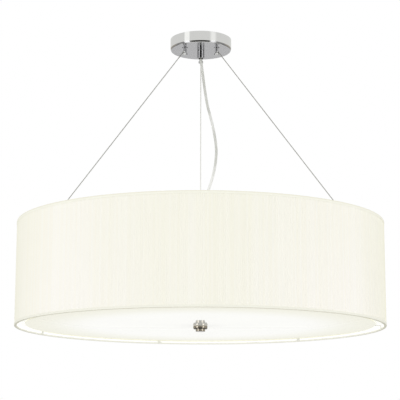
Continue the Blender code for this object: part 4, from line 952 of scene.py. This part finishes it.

# Painted light: the clips' white coat glows faintly, as if lit by the lamps
lit_enamel, shader, place = new_finish("lit_enamel", {"Emission Strength": 0.10, "Specular IOR Level": 0.3})
flow = place.grain(120.0, 3.0)
feed(shader, {"Base Color": flow.tint((0.86, 0.86, 0.82), (0.91, 0.91, 0.87)),
              "Emission Color": flow.tint((0.90, 0.89, 0.80), (1.0, 0.99, 0.90)),
              "Roughness": 0.3 + 0.1 * flow})
diffuser_low, diffuser_high = levels("diffuser")
tongue, weld, clip_foot = diffuser_high + GAP, shade_low + 0.0029, shade_low + 0.001
clip_outline = [(CLIP_LEG, clip_foot), (CLIP_LEG, weld), (CLIP_WELD, weld), (CLIP_WELD, weld + CLIP_STRIP),
                (CLIP_LEG, weld + CLIP_STRIP), (CLIP_LEG, tongue + CLIP_STRIP),
                (CLIP_TIP, tongue + CLIP_STRIP), (CLIP_TIP, tongue), (CLIP_LEG - CLIP_STRIP, tongue),
                (CLIP_LEG - CLIP_STRIP, clip_foot)]
for number in range(1, CLIPS + 1):
    bm = bmesh.new()
    face = bm.faces.new([bm.verts.new((x, -CLIP_WIDTH / 2, z)) for x, z in clip_outline])
    grown = bmesh.ops.extrude_face_region(bm, geom=[face])["geom"]
    bmesh.ops.translate(bm, vec=(0.0, CLIP_WIDTH, 0.0),
                        verts=[item for item in grown if isinstance(item, bmesh.types.BMVert)])
    bmesh.ops.recalc_face_normals(bm, faces=bm.faces)
    mesh = bpy.data.meshes.new(f"diffuser_clip_{number}")
    bm.to_mesh(mesh)
    bm.free()
    mesh.materials.append(lit_enamel)
    mesh.transform(heading(92.0 + 360.0 / CLIPS * (number - 1)))
    clip = new_piece(f"diffuser_clip_{number}", mesh)
    bevel = clip.modifiers.new("edges", "BEVEL")
    bevel.width = 0.0002
    bevel.segments = 2
    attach(clip, "fixture")


# Diffuser
# A 3 mm opal acrylic disc, glossy, held up by the finial. The six lamps' light through it is painted as a
# glow on its underside: brightest over its middle, yellower and darker at the edge, with a painted shadow at
# the rod. Its colour is yellower towards the edge too.
DISC_RADIUS = 0.425
DISC_BORE = 0.0055

opal_acrylic, shader, place = new_finish("lit_opal_acrylic", {
    "Emission Strength": 0.36, "Roughness": 0.05, "IOR": 1.49,
    "Coat Weight": 0.6, "Coat Roughness": 0.03, "Coat IOR": 1.49})
east, north, height = (place.axis(number) for number in range(3))
reach = (east * east + north * north) ** 0.5
# Painted light: six faint lobes over the lamps, a darker edge and a painted shadow round the rod
six_lamps = ((north.maths("ARCTAN2", east) * 6.0).maths("COSINE") * 0.5 + 0.5) * (
    reach.eased_step(0.06, 0.19) * (1.0 - reach.eased_step(0.21, 0.34)))
near_edge = reach.eased_step(0.25, DISC_RADIUS)
upper_face = height.eased_step(diffuser_high - 0.0009, diffuser_high - 0.0002)
glow = 1.0 - near_edge * 0.36 - (1.0 - reach.eased_step(0.0, 0.085)) * 0.22 - (1.0 - six_lamps) * 0.04
glow = glow * (1.0 - 0.9 * upper_face)
warmth = near_edge.tint((1.0, 0.99, 0.90), (1.0, 0.97, 0.58))
yellower_at_edge = near_edge * (1.0 - 0.8 * upper_face)
feed(shader, {"Base Color": yellower_at_edge.tint((0.895, 0.905, 0.865), (0.90, 0.878, 0.67)),
              "Emission Color": glow.tint((0.0, 0.0, 0.0), warmth)})
disc_rows = [(DISC_BORE, diffuser_high), (DISC_RADIUS, diffuser_high), (DISC_RADIUS, diffuser_low),
             (DISC_BORE, diffuser_low)]
disc = skinned("opal_disc", lathe(eased(disc_rows, 0.0007), DRUM_SIDES), opal_acrylic, join_rows=True)
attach(disc, "diffuser")
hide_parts("diffuser")


# Finial
# A turned brass knob with a smaller step below it, plated, and screwed on to the rod's end. Its plating is
# painted darker and browner than the chrome above, a painted reflection of the dark room round it.
KNOB_RADIUS = 0.0175
KNOB_HEIGHT = 0.0076
STEP_RADIUS = 0.0115
FINIAL_EASES = (0, 0.0002, 0.0004, 0.0008, 0.003, 0.0008, 0.0003, 0.0008, 0)

finial_low, finial_high = levels("finial")
knob_low, bore_end = finial_high - KNOB_HEIGHT, finial_high - 0.0085
# Painted reflection: a darker, browner base colour than the chrome
painted_dark_plating, shader, place = new_finish("painted_dark_plating", {"Metallic": 0.8})
haze = place.grain(90.0, 3.0)
feed(shader, {"Base Color": haze.tint((0.38, 0.345, 0.285), (0.44, 0.40, 0.335)),
              "Roughness": 0.04 + 0.05 * haze})
finial_rows = [(0.0, bore_end), (ROD_BORE, bore_end), (ROD_BORE, finial_high), (KNOB_RADIUS, finial_high),
               (KNOB_RADIUS, finial_high - 0.0052), (0.0162, knob_low), (STEP_RADIUS, knob_low),
               (STEP_RADIUS, finial_low), (0.0, finial_low)]
finial = skinned("finial_knob", lathe(eased(finial_rows, FINIAL_EASES, closed=False), 96), painted_dark_plating)
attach(finial, "finial")
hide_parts("finial")


# Studio
# A pale floor 5 m below the ceiling, which shows white to the camera, and a tall soft box on each side in
# front, in a white room. What is polished sees the two boxes, the room's grey, a warm low wall, a white wall
# behind, and the dark floor and camera side.
FLOOR = -5.0
FLOOR_REACH = 30
FLOOR_WHITE = 0.32                  # what its own colour lacks to white
BOX_DISTANCE = 2.8
BOX_HEIGHT = 2.4
BOX_LIGHT = 1.25
# Each box's name, azimuth, half width, soft edge and strength
BOXES = (("left_box", -54.0, 10.5, 1.5, 1.08), ("right_box", 48.0, 10.5, 6.5, 0.98))
# Sines of the elevations between which one part of the mirrored room passes into the next
DARK_FLOOR, LOW_WALL, HORIZON, HIGH_WALL = (-0.50, -0.36), (-0.20, -0.11), (-0.01, 0.03), (0.09, 0.24)


def seen_directly(field):
    """1 for rays from the camera, also through what is clear, and 0 for all others."""
    camera_ray, through = (field.add("ShaderNodeLightPath", {}, {}, output)
                           for output in ("Is Camera Ray", "Is Transmission Ray"))
    return camera_ray.maths("MAXIMUM", through)


floor_mesh = bpy.data.meshes.new("studio_floor")
floor_mesh.from_pydata([(x * FLOOR_REACH, y * FLOOR_REACH, FLOOR)
                        for x, y in ((-1, -1), (1, -1), (1, 1), (-1, 1))], [], [(0, 1, 2, 3)])
floor = new_piece("studio_floor", floor_mesh)
pale_floor, shader, place = new_finish("pale_floor", {
    "Roughness": 0.9, "Specular IOR Level": 0.0, "Emission Color": (1.0, 1.0, 1.0, 1.0)})
feed(shader, {"Base Color": place.grain(0.5).tint((0.84, 0.84, 0.84), (0.86, 0.86, 0.86)),
              "Emission Strength": seen_directly(place) * FLOOR_WHITE})
floor_mesh.materials.append(pale_floor)
floor.visible_glossy = False

for name, azimuth, half_width, soft, strength in BOXES:
    data = bpy.data.lights.new(name, "AREA")
    data.shape = "RECTANGLE"
    data.size, data.size_y = 2 * BOX_DISTANCE * math.tan(math.radians(half_width)), BOX_HEIGHT
    data.energy = strength * BOX_LIGHT * math.pi * data.size * data.size_y
    lamp = new_piece(name, data)
    aim = heading(azimuth) @ Vector((BOX_DISTANCE, 0.0, 0.0))
    lamp.location = aim
    lamp.rotation_euler = aim.to_track_quat("Z", "Y").to_euler()
    lamp.visible_glossy = False

room = bpy.data.worlds.new("studio_room")
bpy.context.scene.world = room
room.use_nodes = True
nodes = room.node_tree.nodes
seen, lit, mirror = nodes["Background"], nodes.new("ShaderNodeBackground"), nodes.new("ShaderNodeBackground")
seen.inputs["Color"].default_value = (1.0, 1.0, 1.0, 1.0)
direction = Field(nodes.new("ShaderNodeTexCoord").outputs["Generated"])
east, north, up = (direction.axis(number) for number in range(3))
feed(lit, {"Color": north.eased_step(-0.9, 0.9).tint((0.91, 0.91, 0.91), (0.70, 0.70, 0.70))})
azimuth = east.maths("ARCTAN2", north * -1.0)
off_front = azimuth.maths("ABSOLUTE")
past_front = off_front.eased_step(math.radians(30.0), math.radians(42.0))
behind = off_front.eased_step(math.radians(150.0), math.radians(166.0))
ground = 0.03 + 0.52 * up.eased_step(*DARK_FLOOR) + 0.25 * up.eased_step(*LOW_WALL)
ground = ground * (0.04 + 0.42 * past_front + 0.54 * behind)
above = 0.36 + 0.38 * up.eased_step(*HIGH_WALL)
side = up.eased_step(*HORIZON)
tone = above * side + ground * (1.0 - side)
low_wall = up.eased_step(*LOW_WALL) * (1.0 - up.eased_step(*HIGH_WALL)) * (1.0 - behind)
bright_foot = up.eased_step(-0.17, -0.12) * (1.0 - up.eased_step(-0.05, 0.0))
for name, middle, half_width, soft, strength in BOXES:
    aside = (azimuth - math.radians(middle)).maths("ABSOLUTE")
    box = 1.0 - aside.eased_step(math.radians(half_width - soft), math.radians(half_width + soft))
    box = box * up.eased_step(-0.90, -0.85) * (1.0 - up.eased_step(0.80, 0.85))
    tone = tone * (1.0 - box) + box * (strength + 2.2 * bright_foot)
    low_wall = low_wall * (1.0 - box)
room_tint = low_wall.tint(side.tint((1.0, 1.0, 1.0), (1.0, 1.005, 0.96)), (1.0, 0.93, 0.80))
feed(mirror, {"Color": tone.tint((0.0, 0.0, 0.0), room_tint, clamped=False)})
glossy = direction.add("ShaderNodeLightPath", {}, {}, "Is Glossy Ray")
blend = lit
for share, background in ((glossy, mirror), (seen_directly(direction), seen)):
    choice = nodes.new("ShaderNodeMixShader")
    feed(choice, {0: share, 1: Field(blend.outputs[0]), 2: Field(background.outputs[0])})
    blend = choice
feed(nodes["World Output"], {"Surface": Field(blend.outputs[0])})

bpy.context.scene.view_settings.view_transform = "Standard"
